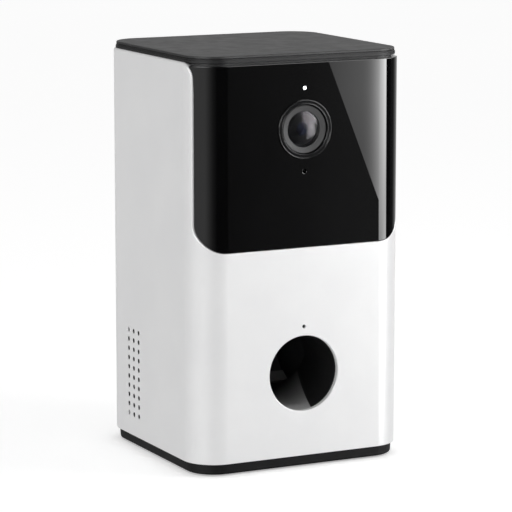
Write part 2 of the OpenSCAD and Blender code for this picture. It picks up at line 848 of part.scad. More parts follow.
module metering_wheel() {
    wheel_r = well_r - wheel_gap;
    finger_h = finger_top - wheel_z - finger_r;
    color("#d05a28") translate([0, well_y, wheel_z]) difference() {
        union() {
            cylinder(h = wheel_h, r = hub_r);
            for (k = [0 : vanes - 1]) rotate([0, 0, k * 360 / vanes]) intersection() {
                translate([0, -vane_t / 2, 0]) cube([wheel_r + 1, vane_t, wheel_h]);
                cylinder(h = wheel_h, r = wheel_r);
            }
            translate([0, 0, wheel_h]) cylinder(h = 5, r1 = hub_r - 0.5, r2 = 5);
            translate([finger_orbit, 0, 0]) cylinder(h = finger_h, r = finger_r, $fn = 32);
            translate([finger_orbit, 0, finger_h]) sphere(finger_r, $fn = 32);
        }
        translate([0, 0, -through]) cylinder(h = 7 + through, r = shaft_r);
    }
}

module metering_shaft() {
    low = gear_z - 0.4;
    color("silver") translate([0, well_y, low]) cylinder(h = wheel_z + 7 - low, r = shaft_r);
}

module metering_bush() {
    flange_z = gear_z + gear_h + 0.3;
    color("#b8862c") translate([0, well_y, 0]) difference() {
        union() {
            translate([0, 0, flange_z]) cylinder(h = well_floor_z - flange_z, r = shaft_r + 4.5);
            translate([0, 0, flange_z]) cylinder(h = wheel_z - 0.2 - flange_z, r = shaft_r + 2.5);
        }
        translate([0, 0, flange_z - through]) cylinder(h = 10, r = shaft_r + running_gap);
    }
}

// The involute of a circle of radius base, unwound by angle t
function involute(base, t) = base * [cos(t) + t * PI / 180 * sin(t), sin(t) - t * PI / 180 * cos(t)];
// How far the involute has turned where it reaches radius r
function involute_turn(base, r) = let (k = sqrt(max(0, r * r / base / base - 1))) k * 180 / PI - atan(k);

// One tooth's outline, centred on +X: root, flank, tip, flank, root
function tooth(teeth, steps = 4) =
    let (pitch = gear_module * teeth / 2, base = pitch * cos(pressure_angle),
        tip = pitch + gear_module, root = pitch - 1.2 * gear_module,
        half = (PI * gear_module / 2 - backlash / 2) / pitch / 2 * 180 / PI + involute_turn(base, pitch),
        low = max(base, root),
        flank = [for (k = [0 : steps]) let (r = low + (tip - low) * k / steps)
            [r, half - involute_turn(base, r)]])
    concat([[root, -half - 0.5]], [for (p = flank) [p[0], -p[1]]],
        [for (k = [steps : -1 : 0]) flank[k]], [[root, half + 0.5]]);

module gear_outline(teeth) {
    polygon([for (k = [0 : teeth - 1], p = tooth(teeth))
        p[0] * [cos(p[1] + k * 360 / teeth), sin(p[1] + k * 360 / teeth)]]);
}

module wheel_gear() {
    color("#e6e2d4") translate([0, well_y, gear_z]) linear_extrude(gear_h) difference() {
        gear_outline(wheel_teeth);
        circle(shaft_r);
    }
}

module idler_gear() {
    color("#d8d4c6") translate([idler_x, well_y, gear_z]) linear_extrude(gear_h) difference() {
        rotate(180 / idler_teeth) gear_outline(idler_teeth);
        circle(idler_pin_r + running_gap);
    }
}

module idler_pin() {
    low = gear_z - 0.8;
    collar_z = gear_z + gear_h + 0.2;
    color("silver") translate([idler_x, well_y, 0]) {
        translate([0, 0, low]) cylinder(h = 0.6, r = 2.6, $fn = 32);
        translate([0, 0, low]) cylinder(h = well_floor_z + 2 - low, r = idler_pin_r, $fn = 24);
        translate([0, 0, collar_z]) cylinder(h = well_floor_z - collar_z, r = 2.6, $fn = 32);
    }
}

module motor_pinion() {
    color("#b8862c") translate([pinion_x, well_y, 0]) {
        translate([0, 0, gear_z]) linear_extrude(gear_h) gear_outline(pinion_teeth);
        translate([0, 0, bracket_z - 6]) cylinder(h = gear_z - bracket_z + 6, r = 1.5, $fn = 24);
    }
}

module metering_motor() {
    color("#b0b2b6") translate([pinion_x, well_y, bracket_z - gearmotor_h]) difference() {
        union() {
            translate([0, 0, 16]) cylinder(h = gearmotor_h - 16, r = gearmotor_r);
            intersection() {
                translate([0, 0, 1.5]) cylinder(h = 15, r = gearmotor_r - 0.6);
                translate([-gearmotor_r, -6, 0]) cube([2 * gearmotor_r, 12, 20]);
            }
            cylinder(h = 2, r = 4);
            for (x = [-1, 1]) translate([x * 5 - 0.25, -1, -1.5]) cube([0.5, 2, 4]);
        }
        translate([0, 0, gearmotor_h - 7]) cylinder(h = 8, r = 1.5 + running_gap, $fn = 24);
    }
}

module motor_bracket() {
    color("#26262a") translate([pinion_x, well_y, bracket_z]) difference() {
        union() {
            linear_extrude(bracket_t) racetrack(14, 2 * bracket_post_y + 10);
            for (y = [-1, 1]) translate([0, y * bracket_post_y, 0])
                cylinder(h = well_floor_z - bracket_z, r = 3, $fn = 32);
        }
        translate([0, 0, -through]) cylinder(h = 4, r = 3);
        for (y = [-1, 1]) translate([0, y * bracket_post_y, -through])
            cylinder(h = 12, r = clear_r, $fn = 24);
    }
}

// ---------------------------------------------------------------- launch chamber and chute

// Places round the chamber's rim where its halves are screwed together
module ear_places() {
    reach = chamber_r + chamber_wall + ear_r - 1;
    for (a = ear_angles) translate([0, chamber_y + reach * cos(a), chamber_z + reach * sin(a)]) children();
}

module chamber_leg(y) {
    half = chamber_leg_w / 2;
    translate([chamber_half_w, y - half, chamber_foot_z]) cube([chamber_wall, chamber_leg_w, 40]);
    translate([chamber_half_w, y - half, chamber_foot_z])
        cube([chamber_foot_x - chamber_half_w, chamber_leg_w, chamber_foot_t]);
    translate([chamber_foot_x, y, chamber_foot_z]) cylinder(h = chamber_foot_t, r = half, $fn = 32);
    translate([chamber_side_x - 0.5, y + leg_gusset_t / 2, chamber_foot_z]) leg_gusset();
}

// A small gusset between a leg and its foot, clear of the screw's head
module leg_gusset() {
    rotate([90, 0, 0]) linear_extrude(leg_gusset_t)
        polygon([[0, 0], [leg_gusset_reach, 0], [leg_gusset_reach, chamber_foot_t], [0, 12]]);
}

// The right half of the chamber; the left half is its mirror image
module chamber_half(shaft_hole_r, ear_hole_r) {
    outer_r = chamber_r + chamber_wall;
    channel_d = port_back - port_front;
    difference() {
        union() {
            bar_x(0, chamber_y, chamber_z, outer_r, chamber_side_x);
            translate([0, port_front - channel_wall, chamber_z])
                cube([port_half_w + channel_wall, channel_d + 2 * channel_wall, channel_top - chamber_z]);
            ear_places() bar_x(0, 0, 0, ear_r, ear_len);
            for (y = chamber_foot_y) chamber_leg(y);
        }
        bar_x(-through, chamber_y, chamber_z, chamber_r, chamber_half_w + through);
        translate([-through, port_front, chamber_z]) cube([port_half_w + through, channel_d, channel_top]);
        difference() {
            bar_y(0, front_y, outlet_z, outlet_r + chute_wall + chute_gap, chute_back - front_y + chute_gap);
            bar_x(-through, chamber_y, chamber_z, chamber_r, 60);
        }
        bar_x(0, chamber_y, chamber_z, shaft_hole_r, 60);
        ear_places() bar_x(-through, 0, 0, ear_hole_r, ear_len + 2 * through);
        for (y = chamber_foot_y) translate([chamber_foot_x, y, chamber_foot_z - through])
            cylinder(h = 10, r = clear_r, $fn = 24);
    }
}

module chamber_left() {
    color("#3c3c40") mirror([1, 0, 0]) chamber_half(4, pilot_r);
}

module chamber_right() {
    color("#444448") chamber_half(3.1, clear_r);
}

module chamber_screws() {
    color("silver") {
        ear_places() translate([ear_len, 0, 0]) rotate([0, -90, 0]) screw(14);
        each_chamber_foot() translate([0, 0, chamber_foot_z + chamber_foot_t]) rotate([180, 0, 0]) screw(7.5);
    }
}

module treat_chute() {
    tube_r = outlet_r + chute_wall;
    start = front_y + shell_wall;
    color("#141416") difference() {
        union() {
            bar_y(0, start, outlet_z, tube_r, chute_back - start);
            bar_y(0, start, outlet_z, chute_flange_r, 1.6);
        }
        bar_y(0, start - through, outlet_z, outlet_r, chute_back - start + 2 * through);
        bar_x(-50, chamber_y, chamber_z, chamber_r, 100);
    }
}

// ---------------------------------------------------------------- paddle

// Seen along the shaft: a curved blade of thickness t, out to radius reach
module blade_outline(t, reach) {
    half_chord = paddle_tip_r / 2;
    drop = sqrt(blade_curve_r * blade_curve_r - half_chord * half_chord);
    intersection() {
        difference() {
            translate([half_chord, -drop]) circle(blade_curve_r + t / 2);
            translate([half_chord, -drop]) circle(blade_curve_r - t / 2);
        }
        circle(reach);
        translate([0, -8]) square([40, 40]);
    }
}

module along_paddle(half_w) {
    translate([-half_w, chamber_y, chamber_z]) rotate([90, 0, 90]) linear_extrude(2 * half_w)
        for (turn = [0, 180]) rotate(paddle_angle + turn) children();
}

module launch_paddle() {
    color("#e07030") difference() {
        union() {
            along_paddle(paddle_half_w) blade_outline(blade_t, paddle_tip_r);
            bar_x(-paddle_half_w - 1, chamber_y, chamber_z, paddle_hub_r, 2 * paddle_half_w + 2);
        }
        bar_x(-40, chamber_y, chamber_z, paddle_shaft_r, 80);
    }
}

module paddle_tips() {
    color("#383838") along_paddle(paddle_half_w + 0.4) difference() {
        blade_outline(rubber_t, paddle_rubber_r);
        circle(paddle_tip_r - rubber_overlap);
        blade_outline(blade_t, paddle_tip_r);
    }
}

module paddle_shaft() {
    start = -chamber_side_x - 2.4;
    end = chamber_side_x + motor_socket - 0.5;
    color("silver") bar_x(start, chamber_y, chamber_z, paddle_shaft_r, end - start);
}

module paddle_bearing() {
    color("#b8862c") difference() {
        union() {
            bar_x(-chamber_side_x - 3.4, chamber_y, chamber_z, 6.5, 3.4);
            bar_x(-chamber_side_x, chamber_y, chamber_z, 4, chamber_wall);
        }
        bar_x(-chamber_side_x - 2.6, chamber_y, chamber_z, paddle_shaft_r + running_gap, 10);
    }
}

module launch_motor() {
    flat_half = 9.5;
    cap_x = chamber_side_x + motor_len - 4;
    color("#b0b2b6") difference() {
        union() {
            intersection() {
                bar_x(chamber_side_x, chamber_y, chamber_z, motor_r, motor_len - 3);
                translate([chamber_side_x, chamber_y - 20, chamber_z - flat_half])
                    cube([40, 40, 2 * flat_half]);
            }
            bar_x(cap_x, chamber_y, chamber_z, motor_r - 3, 2.5);
            bar_x(cap_x, chamber_y, chamber_z, 3, 4);
            bar_x(chamber_side_x - 1.8, chamber_y, chamber_z, 3.1, 3);
            for (y = [-6, 6]) translate([cap_x, chamber_y + y - 1, chamber_z - 0.3]) cube([6, 2, 0.6]);
        }
        bar_x(chamber_side_x - 3, chamber_y, chamber_z, paddle_shaft_r + running_gap, motor_socket + 3);
    }
}

// ---------------------------------------------------------------- speaker

module speaker_layer(x, t, w, h) {
    translate([0, speaker_y, speaker_z]) extrude_x(x, t) racetrack(w, h);
}

module speaker_gasket() {
    color("#202022") difference() {
        speaker_layer(-inner_x, gasket_t, speaker_w, speaker_h);
        speaker_layer(-inner_x - through, gasket_t + 2 * through, speaker_w - 8, speaker_h - 5);
    }
}

module speaker_frame() {
    start = gasket_t - inner_x;
    color("#303034") difference() {
        union() {
            speaker_layer(start, speaker_frame_deep, speaker_w, speaker_h);
            speaker_screw_places() bar_x(speaker_ear_x, 0, 0, 4, speaker_ear_t);
            translate([speaker_ear_x, speaker_y - speaker_ear_y, speaker_z - 4])
                cube([speaker_ear_t, 2 * speaker_ear_y, 8]);
        }
        speaker_layer(start - through, speaker_frame_deep - 1, speaker_w - 4, speaker_h - 4);
        speaker_screw_places() bar_x(speaker_ear_x - through, 0, 0, clear_r, speaker_ear_t + 2 * through);
    }
}

module speaker_cone() {
    start = gasket_t - inner_x + 1;
    deep = speaker_frame_deep - 4;
    rim = 4;
    edge = 5;
    inside = 6.4;
    color("#18181a") translate([start, speaker_y, speaker_z]) rotate([90, 0, 90]) {
        difference() {
            linear_extrude(deep, scale = 0.5) racetrack(speaker_w - edge, speaker_h - edge);
            translate([0, 0, -0.01]) linear_extrude(deep - 0.6, scale = 0.5)
                racetrack(speaker_w - inside, speaker_h - inside);
        }
        linear_extrude(0.5) difference() {
            racetrack(speaker_w - rim, speaker_h - rim);
            racetrack(speaker_w - inside, speaker_h - inside);
        }
    }
}

module speaker_magnet() {
    start = gasket_t - inner_x + speaker_frame_deep;
    color("#888a90") bar_x(start, speaker_y, speaker_z, magnet_r, magnet_deep);
}

module speaker_screws() {
    color("silver") speaker_screw_places()
        translate([speaker_ear_x + speaker_ear_t, 0, 0]) rotate([0, -90, 0]) screw(6);
}

// ---------------------------------------------------------------- main board, inlet and reset button

module main_board() {
    color("#144d38") difference() {
        translate([-main_board_w / 2, main_board_y, main_board_low])
            cube([main_board_w, board_t, main_board_h]);
        main_post_places() bar_y(0, main_board_y - through, 0, clear_r, board_t + 2 * through);
    }
}

// Parts on a board's front face: place, size along X and Z, and height off the board
module on_board(face_y, x, z, w, h, t) {
    translate([x - w / 2, face_y - t, z - h / 2]) cube([w, t, h]);
}

module ribbon_connector(face_y, z) {
    on_board(face_y, ribbon_x + ribbon_w / 2, z, ribbon_w + 3, connector_h, connector_t);
}

module board_chips() {
    color("#1e1e22") {
        on_board(main_board_y, -8, 44, 12, 12, 1.4);
        on_board(main_board_y, 12, 30, 8, 5, 1.6);
        on_board(main_board_y, -30, 74, 10, 6, 4);
        on_board(main_board_y, -14, 74, 10, 6, 4);
        ribbon_connector(main_board_y, main_connector_z);
        for (x = [-36, -24]) translate([x, main_board_y, 28]) rotate([90, 0, 0]) cylinder(h = 7, r = 4);
        ribbon_connector(front_y + board_depth + board_t + connector_t, camera_connector_z);
    }
}

module shield_can() {
    color("silver") difference() {
        on_board(main_board_y, 14, 60, 26, 20, 3);
        translate([0, 0.5, 0]) on_board(main_board_y, 14, 60, 25, 19, 3);
    }
}

module board_screws() {
    color("silver") main_post_places() translate([0, main_board_y, 0]) rotate([-90, 0, 0]) screw(7);
}

module power_inlet() {
    wall = 0.4;
    color("#c4c6ca") translate([0, main_board_back, inlet_z]) rotate([-90, 90, 0]) difference() {
        linear_extrude(back_y - 0.6 - main_board_back) racetrack(inlet_h, inlet_w);
        translate([0, 0, 2]) linear_extrude(20) difference() {
            racetrack(inlet_h - 2 * wall, inlet_w - 2 * wall);
            square([0.7, 6.6], center = true);
        }
    }
}

module reset_switch() {
    color("#303034") {
        translate([reset_x - 2.6, main_board_back, reset_z - 2.6]) cube([5.2, 2, 5.2]);
        bar_y(reset_x, main_board_back, reset_z, 1.2, 2.8);
    }
}

module reset_button() {
    start = main_board_back + 2.9 + reset_travel;
    flange_y = inner_back - 1.3;
    color("#b8b8b8") {
        bar_y(reset_x, start, reset_z, reset_r, back_y + 0.3 - start);
        bar_y(reset_x, flange_y, reset_z, reset_r + 1.2, 1.1);
    }
}

module radio_aerial() {
    wall_y = inner_back - 0.8;
    color("#3a3024") {
        translate([-46, wall_y, 98]) cube([36, 0.8, 9]);
        translate([-24, wall_y, 84]) cube([2, 0.8, 15]);
        translate([-24, main_board_back, 82.5]) cube([2, inner_back - main_board_back, 2]);
    }
}

// ---------------------------------------------------------------- flat cable between the boards

ribbon_front_y = front_y + board_depth + board_t + ribbon_t / 2;
ribbon_back_y = main_board_y - ribbon_t / 2;
ribbon_path = [
    [ribbon_front_y, camera_connector_z - connector_h / 2], [ribbon_front_y, 157],
    [front_y + 14, 149], [front_y + 14, 101], [front_y + 17, 98.5], [main_board_y - 7, 98.5],
    [ribbon_back_y, 92], [ribbon_back_y, main_connector_z + connector_h / 2]];

// A strip of even thickness along the path, in Y and Z, with mitred bends
function unit(v) = v / norm(v);
function strip_side(path, side) = [for (i = [0 : len(path) - 1])
    let (before = unit(path[max(i, 1)] - path[max(i, 1) - 1]),
        after = unit(path[min(i, len(path) - 2) + 1] - path[min(i, len(path) - 2)]),
        a = [-before[1], before[0]], b = [-after[1], after[0]], m = unit(a + b))
    path[i] + side * ribbon_t / 2 * m / (m * a)];

module camera_ribbon() {
    left = strip_side(ribbon_path, 1);
    right = strip_side(ribbon_path, -1);
    color("#e8e4da") extrude_x(ribbon_x, ribbon_w)
        polygon(concat(left, [for (i = [len(right) - 1 : -1 : 0]) right[i]]));
}

outer_shell();
base_plate();
rubber_feet();
base_screws();
front_window();
window_frame();
lens_bezel();
lens_ring();
lens_glass();
lens_barrel();
rear_lens();
lens_holder();
image_sensor();
camera_board();
infrared_lamps();
status_light();
camera_microphone();
camera_screws();
outlet_sensor();
lid_cover();
lid_liner();
lid_seal();
treat_bin();
bin_screws();
port_guard();
metering_wheel();
metering_shaft();
metering_bush();
wheel_gear();
idler_gear();
idler_pin();
motor_pinion();
metering_motor();
motor_bracket();
chamber_left();
chamber_right();
chamber_screws();
treat_chute();
launch_paddle();
paddle_tips();
paddle_shaft();
paddle_bearing();
launch_motor();
speaker_gasket();
speaker_frame();
speaker_cone();
speaker_magnet();
speaker_screws();
main_board();
board_chips();
shield_can();
board_screws();
power_inlet();
reset_switch();
reset_button();
radio_aerial();
camera_ribbon();
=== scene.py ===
"""Looks for a treat tossing pet camera: a white tower with a dark wrap-around window, a lens, a lid and a
round outlet.

Shapes are worked out in millimetres in the part's own frame, and turned to metres when a mesh is made.
The front faces -Y, +X is to the right seen from the front, and +Z is up.
"""

import json
import math

import bpy
import numpy as np
from mathutils import Matrix, Vector
from mathutils.geometry import delaunay_2d_cdt


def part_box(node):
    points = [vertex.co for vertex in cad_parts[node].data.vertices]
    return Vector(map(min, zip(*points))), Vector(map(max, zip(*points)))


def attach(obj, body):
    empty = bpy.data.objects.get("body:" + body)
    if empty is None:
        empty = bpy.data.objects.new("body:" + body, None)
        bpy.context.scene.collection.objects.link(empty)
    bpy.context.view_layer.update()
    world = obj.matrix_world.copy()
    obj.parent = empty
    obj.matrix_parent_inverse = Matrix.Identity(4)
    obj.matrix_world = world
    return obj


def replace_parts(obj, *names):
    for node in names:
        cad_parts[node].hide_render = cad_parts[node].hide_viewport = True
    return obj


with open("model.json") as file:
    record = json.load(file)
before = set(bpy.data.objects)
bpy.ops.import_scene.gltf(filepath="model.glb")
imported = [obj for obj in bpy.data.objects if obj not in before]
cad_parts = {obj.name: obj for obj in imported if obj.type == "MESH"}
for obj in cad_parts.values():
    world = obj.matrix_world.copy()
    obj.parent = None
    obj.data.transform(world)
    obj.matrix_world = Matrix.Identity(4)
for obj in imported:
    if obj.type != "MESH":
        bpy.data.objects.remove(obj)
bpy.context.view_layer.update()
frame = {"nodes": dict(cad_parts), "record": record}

# ---------------------------------------------------------------- sizes, in millimetres

shell_low, shell_high = (np.array(corner) * 1000 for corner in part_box("outer_shell"))
SIDE_X = shell_high[0]
BACK_Y = shell_high[1]
FRONT_Y = -BACK_Y
Z_SHELL = shell_low[2]
Z_RIM = shell_high[2]
CORNER_R = 19.0
CORNER_X = SIDE_X - CORNER_R
CORNER_Y = BACK_Y - CORNER_R
SHELL_WALL = 3.0

WINDOW_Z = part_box("front_window")[0][2] * 1000
WINDOW_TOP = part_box("front_window")[1][2] * 1000
WINDOW_WRAP = math.radians(61)
WINDOW_CORNER_R = 15.5
WINDOW_T = 2.5
SEAM = 0.25
SHOULDER_R = 8.8
SHOULDER_Z = Z_RIM - SHOULDER_R

LENS_Z = 193.2
STATUS_Z, STATUS_R = 216.4, 1.0
MICROPHONE_Z, MICROPHONE_R = 169.7, 1.2
SENSOR_Z, SENSOR_R = 81.5, 1.1
OUTLET_Z, OUTLET_R = 54.6, 21.6
BEZEL_R = 16.6
BEZEL_TUBE_R = 15.1
BEZEL_BORE_R = 14.0
RING_R = 13.6
RING_BORE_R = 10.2
BARREL_R = 9.3
GLASS_R = 9.9
SECOND_LENS_R = 3.32
HOOD_R, HOOD_BACK = 8.4, 5.4

GRILLE_Y = 23.3
GRILLE_Z = 44.6
GRILLE_COLUMNS, GRILLE_ROWS = 3, 10
GRILLE_PITCH_Y, GRILLE_PITCH_Z = 6.8, 5.5
GRILLE_HOLE_R = 1.4
GRILLE_WALL = 0.35
POCKET_W, POCKET_H = 20.4, 56.3

INLET_Z, INLET_W, INLET_H = 19.0, 10.2, 4.4
RESET_X, RESET_Z, RESET_R = 16.0, 35.0, 2.3

CHAMBER_Y = 8.0
CHAMBER_R = 30.4
CHAMBER_Z = OUTLET_Z - OUTLET_R + CHAMBER_R - 0.2
CHUTE_WALL, CHUTE_FLANGE_W, CHUTE_FLANGE_T = 2.0, 3.4, 1.6

# ---------------------------------------------------------------- camera at the photograph's angle


def photo_camera():
    """A long lens to the left of the front and a little above it. The camera's axes are its right, up and
    backward directions: a turn about Z and then a tilt down."""
    turn, tilt = 0.4669, 0.1707
    distance, across, height = 1.6021, 0.00125, 0.38825
    focal_pixels, frame_pixels, sensor_mm = 2798.8, 512, 36
    right = Vector((math.cos(turn), -math.sin(turn), 0))
    ahead = Vector((math.sin(turn), math.cos(turn), 0))
    forward = ahead * math.cos(tilt) - Vector((0, 0, math.sin(tilt)))
    up = right.cross(forward)
    camera = bpy.data.objects.new("photo_camera", bpy.data.cameras.new("photo_camera"))
    bpy.context.scene.collection.objects.link(camera)
    camera.data.sensor_width = sensor_mm
    camera.data.lens = focal_pixels / frame_pixels * sensor_mm
    camera.data.clip_end = 50
    place = right * across - ahead * distance + Vector((0, 0, height))
    axes = Matrix((right, up, -forward)).transposed().to_4x4()
    camera.matrix_world = Matrix.Translation(place) @ axes
    bpy.context.scene.camera = camera


photo_camera()

# ---------------------------------------------------------------- meshes from arrays


def new_piece(name, points, normals, faces, body, slot):
    """One object from points and their normals (arrays of rows of three, in millimetres) and lists of faces
    (arrays of rows of three or four point numbers). All faces are turned over together if they look against
    the normals. The slot names its finish."""
    points, normals = np.asarray(points, float), np.asarray(normals, float)
    first = faces[0][: max(1, len(faces[0]) // 2)]
    a, b, c = (points[first[:, k]] for k in range(3))
    if (np.cross(b - a, c - a) * normals[first[:, 0]]).sum() < 0:
        faces = [f[:, ::-1] for f in faces]
    mesh = bpy.data.meshes.new(name)
    mesh.vertices.add(len(points))
    mesh.vertices.foreach_set("co", (points / 1000).ravel())
    corners = np.concatenate([f.ravel() for f in faces])
    sizes = np.concatenate([np.full(len(f), f.shape[1]) for f in faces])
    mesh.loops.add(len(corners))
    mesh.loops.foreach_set("vertex_index", corners)
    mesh.polygons.add(len(sizes))
    mesh.polygons.foreach_set("loop_start", np.cumsum(sizes) - sizes)
    mesh.update(calc_edges=True)
    mesh.validate()
    mesh.shade_smooth()
    lengths = np.linalg.norm(normals, axis=1, keepdims=True)
    mesh.normals_split_custom_set_from_vertices(normals / lengths)
    mesh.materials.append(FINISHES[slot])
    piece = bpy.data.objects.new(name, mesh)
    bpy.context.scene.collection.objects.link(piece)
    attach(piece, body)
    return piece


def rounded_profile(corners, radii, steps=5, closed=False):
    """Points and normals along a profile with rounded corners. Each corner is cut back along both of its
    sides by the radius times the tangent of half the turn, and bridged by an arc; a normal is the way of
    travel turned clockwise."""
    corners = np.asarray(corners, float)
    count = len(corners)
    points, normals = [], []

    def put(at, heading):
        points.append(at)
        normals.append([math.sin(heading), -math.cos(heading)])

    for k, corner in enumerate(corners):
        before = corner - corners[k - 1]
        after = corners[(k + 1) % count] - corner
        if not closed and k == 0:
            put(corner, math.atan2(after[1], after[0]))
            continue
        if not closed and k == count - 1:
            put(corner, math.atan2(before[1], before[0]))
            continue
        start = math.atan2(before[1], before[0])
        turn = (math.atan2(after[1], after[0]) - start + math.pi) % (2 * math.pi) - math.pi
        side = math.copysign(1, turn)
        cut = radii[k] * math.tan(abs(turn) / 2)
        inward = side * radii[k] * np.array([-math.sin(start), math.cos(start)])
        centre = corner - cut * before / np.hypot(*before) + inward
        for heading in np.linspace(start, start + turn, steps + 1):
            put(centre + side * radii[k] * np.array([math.sin(heading), -math.cos(heading)]), heading)
    return np.array(points), np.array(normals)


def skin_rings(name, rings, normals, body, slot, closed=False):
    """A surface through rings of points. Neighbouring rings are joined by four-sided faces, and a ring whose
    points all meet becomes one pole joined by three-sided faces. closed joins the last ring to the first."""
    rows, around = rings.shape[:2]
    number = np.arange(rows * around).reshape(rows, around)
    poles = [] if closed else [k for k in (0, rows - 1) if np.ptp(rings[k], axis=0).max() < 1e-6]
    for k in poles:
        number[k] = number[k, 0]
    low = np.arange(rows if closed else rows - 1)
    high = (low + 1) % rows
    turn = np.roll(number, -1, axis=1)
    quads = np.stack([number[low], turn[low], turn[high], number[high]], axis=-1).reshape(-1, 4)
    fans = []
    for k in poles:
        beside = 1 if k == 0 else rows - 2
        fan = np.stack([number[k], turn[beside], number[beside]], axis=-1)
        fans.append(fan if k == 0 else fan[:, ::-1])
    at_pole = np.isin(np.repeat(low, around), [k - (k > 0) for k in poles])
    faces = [quads[~at_pole]] + fans
    used, compact = np.unique(np.concatenate([f.ravel() for f in faces]), return_inverse=True)
    ends = np.cumsum([f.size for f in faces])[:-1]
    faces = [part.reshape(f.shape) for part, f in zip(np.split(compact, ends), faces)]
    points, normals = rings.reshape(-1, 3)[used], normals.reshape(-1, 3)[used]
    return new_piece(name, points, normals, faces, body, slot)


def turned(name, profile, profile_normals, origin, body, slot, steps, closed=False):
    """A profile of radius and height, turned about a line from front to back: X and Z follow the radius
    times the cosine and sine of the angle, and Y is the origin's plus the height, which runs backwards."""
    angle = np.linspace(0, 2 * math.pi, steps, endpoint=False)
    radius, height = profile[:, :1], profile[:, 1:]
    rings = np.stack([radius * np.cos(angle), height + 0 * angle, radius * np.sin(angle)], axis=-1)
    out, along = profile_normals[:, :1], profile_normals[:, 1:]
    normals = np.stack([out * np.cos(angle), along + 0 * angle, out * np.sin(angle)], axis=-1)
    return skin_rings(name, rings + np.array(origin), normals, body, slot, closed)


# ---------------------------------------------------------------- the body's upright surface

FLAT_X, FLAT_Y, QUARTER = CORNER_X, 2 * CORNER_Y, CORNER_R * math.pi / 2
STRETCHES = np.array([FLAT_X, QUARTER, FLAT_Y, QUARTER, 2 * FLAT_X, QUARTER, FLAT_Y, QUARTER, FLAT_X])
STARTS = np.cumsum(STRETCHES) - STRETCHES
ROUND = STRETCHES.sum()
CENTRES = np.array([
    [0, -CORNER_Y], [CORNER_X, -CORNER_Y], [CORNER_X, -CORNER_Y], [CORNER_X, CORNER_Y], [CORNER_X, CORNER_Y],
    [-CORNER_X, CORNER_Y], [-CORNER_X, CORNER_Y], [-CORNER_X, -CORNER_Y], [-CORNER_X, -CORNER_Y]])
FACING = np.radians([-90, -90, 0, 0, 90, 90, 180, 180, 270])
BENDS = np.array([0, 1, 0, 1, 0, 1, 0, 1, 0])


def round_body(s, inset=0.0):
    """Place, way out and way along, in plan, at the distance s round the body from the middle of its front
    towards +X. On a flat the place runs straight along; in a corner it turns about the corner's centre by s
    over the radius. inset shortens the radius, so it gives the same place on a surface further in."""
    s = np.mod(s, ROUND)
    k = np.clip(np.searchsorted(STARTS, s, side="right") - 1, 0, len(STARTS) - 1)
    run = s - STARTS[k]
    angle = FACING[k] + BENDS[k] * run / CORNER_R
    out = np.stack([np.cos(angle), np.sin(angle)], axis=-1)
    along = np.stack([-np.sin(angle), np.cos(angle)], axis=-1)
    radius = np.asarray(CORNER_R - inset)[..., None]
    place = CENTRES[k] + radius * out + ((1 - BENDS[k]) * run)[..., None] * along
    return place, out, along


def ring_places(steps=24):
    """Distances round the body for rings: each corner in even steps, each flat in four."""
    parts = [start + length * np.arange(steps if bend else 4) / (steps if bend else 4)
             for start, length, bend in zip(STARTS, STRETCHES, BENDS)]
    return np.concatenate(parts)


def body_sweep(name, profile, profile_normals, body, slot):
    """A profile carried round the body's outline. Its first number is how far it stands out from the body's
    side (less than nothing inside it) and its second is the height. The first and last ring are closed at
    the body's middle."""
    s = ring_places()
    rings, normals = [], []
    for (stand, z), (out_part, up_part) in zip(profile, profile_normals):
        place, out, _ = round_body(s, -stand)
        rings.append(np.column_stack([place, np.full(len(s), z)]))
        normals.append(np.column_stack([out * out_part, np.full(len(s), up_part)]))
    rings, normals = np.array(rings), np.array(normals)
    middle = rings[[0, -1]] * [0, 0, 1]
    rings = np.concatenate([middle[:1], rings, middle[1:]])
    normals = np.concatenate([normals[:1], normals, normals[-1:]])
    return skin_rings(name, rings, normals, body, slot)


def even_steps(points, step):
    """A line through the points, laid out again in even steps of its own length."""
    length = np.concatenate([[0], np.cumsum(np.hypot(*np.diff(points, axis=0).T))])
    at = np.linspace(0, length[-1], max(8, int(length[-1] / step)) + 1)
    return np.column_stack([np.interp(at, length, points[:, 0]), np.interp(at, length, points[:, 1])])


def soften(points, reach, closed):
    """Eases the kinks of a line: each point becomes the mean of its neighbours, weighted by a bell curve of
    the given reach in steps. An open line keeps its ends, which are straight."""
    pad = 3 * reach
    bell = np.exp(-0.5 * (np.arange(-pad, pad + 1) / reach) ** 2)
    bell /= bell.sum()
    if closed:
        padded = np.concatenate([points[-pad:], points, points[:pad]])
    else:
        grow = np.arange(pad, 0, -1)[:, None]
        padded = np.concatenate([points[0] - grow * (points[1] - points[0]), points,
                                 points[-1] + grow[::-1] * (points[-1] - points[-2])])
    return np.column_stack([np.convolve(padded[:, k], bell, mode="valid") for k in range(2)])


def window_edge(grow):
    """The right half of the window's outline on the unrolled surface, from the middle of its lower edge
    outwards and up to where the side wall's shoulder begins: a straight, a circle as seen from the front, and
    an upright edge. The circle overlaps the upright edge a little, so that the two cross."""
    overlap = 0.05
    half = CORNER_X + CORNER_R * math.sin(WINDOW_WRAP) + grow + overlap
    corner_r = WINDOW_CORNER_R + grow
    centre_x, centre_z = half - corner_r, WINDOW_Z - grow + corner_r
    end_angle = WINDOW_WRAP + math.asin(grow / CORNER_R)
    end_x = CORNER_X + CORNER_R * math.sin(end_angle)
    beta = np.linspace(math.pi / 2, math.acos(min(1, (end_x - centre_x) / corner_r)), 60)
    x, z = centre_x + corner_r * np.cos(beta), centre_z - corner_r * np.sin(beta)
    s = np.where(x > CORNER_X, CORNER_X + CORNER_R * np.arcsin(np.clip((x - CORNER_X) / CORNER_R, 0, 1)), x)
    return np.vstack([[0, z[0]], np.column_stack([s, z])]), end_angle


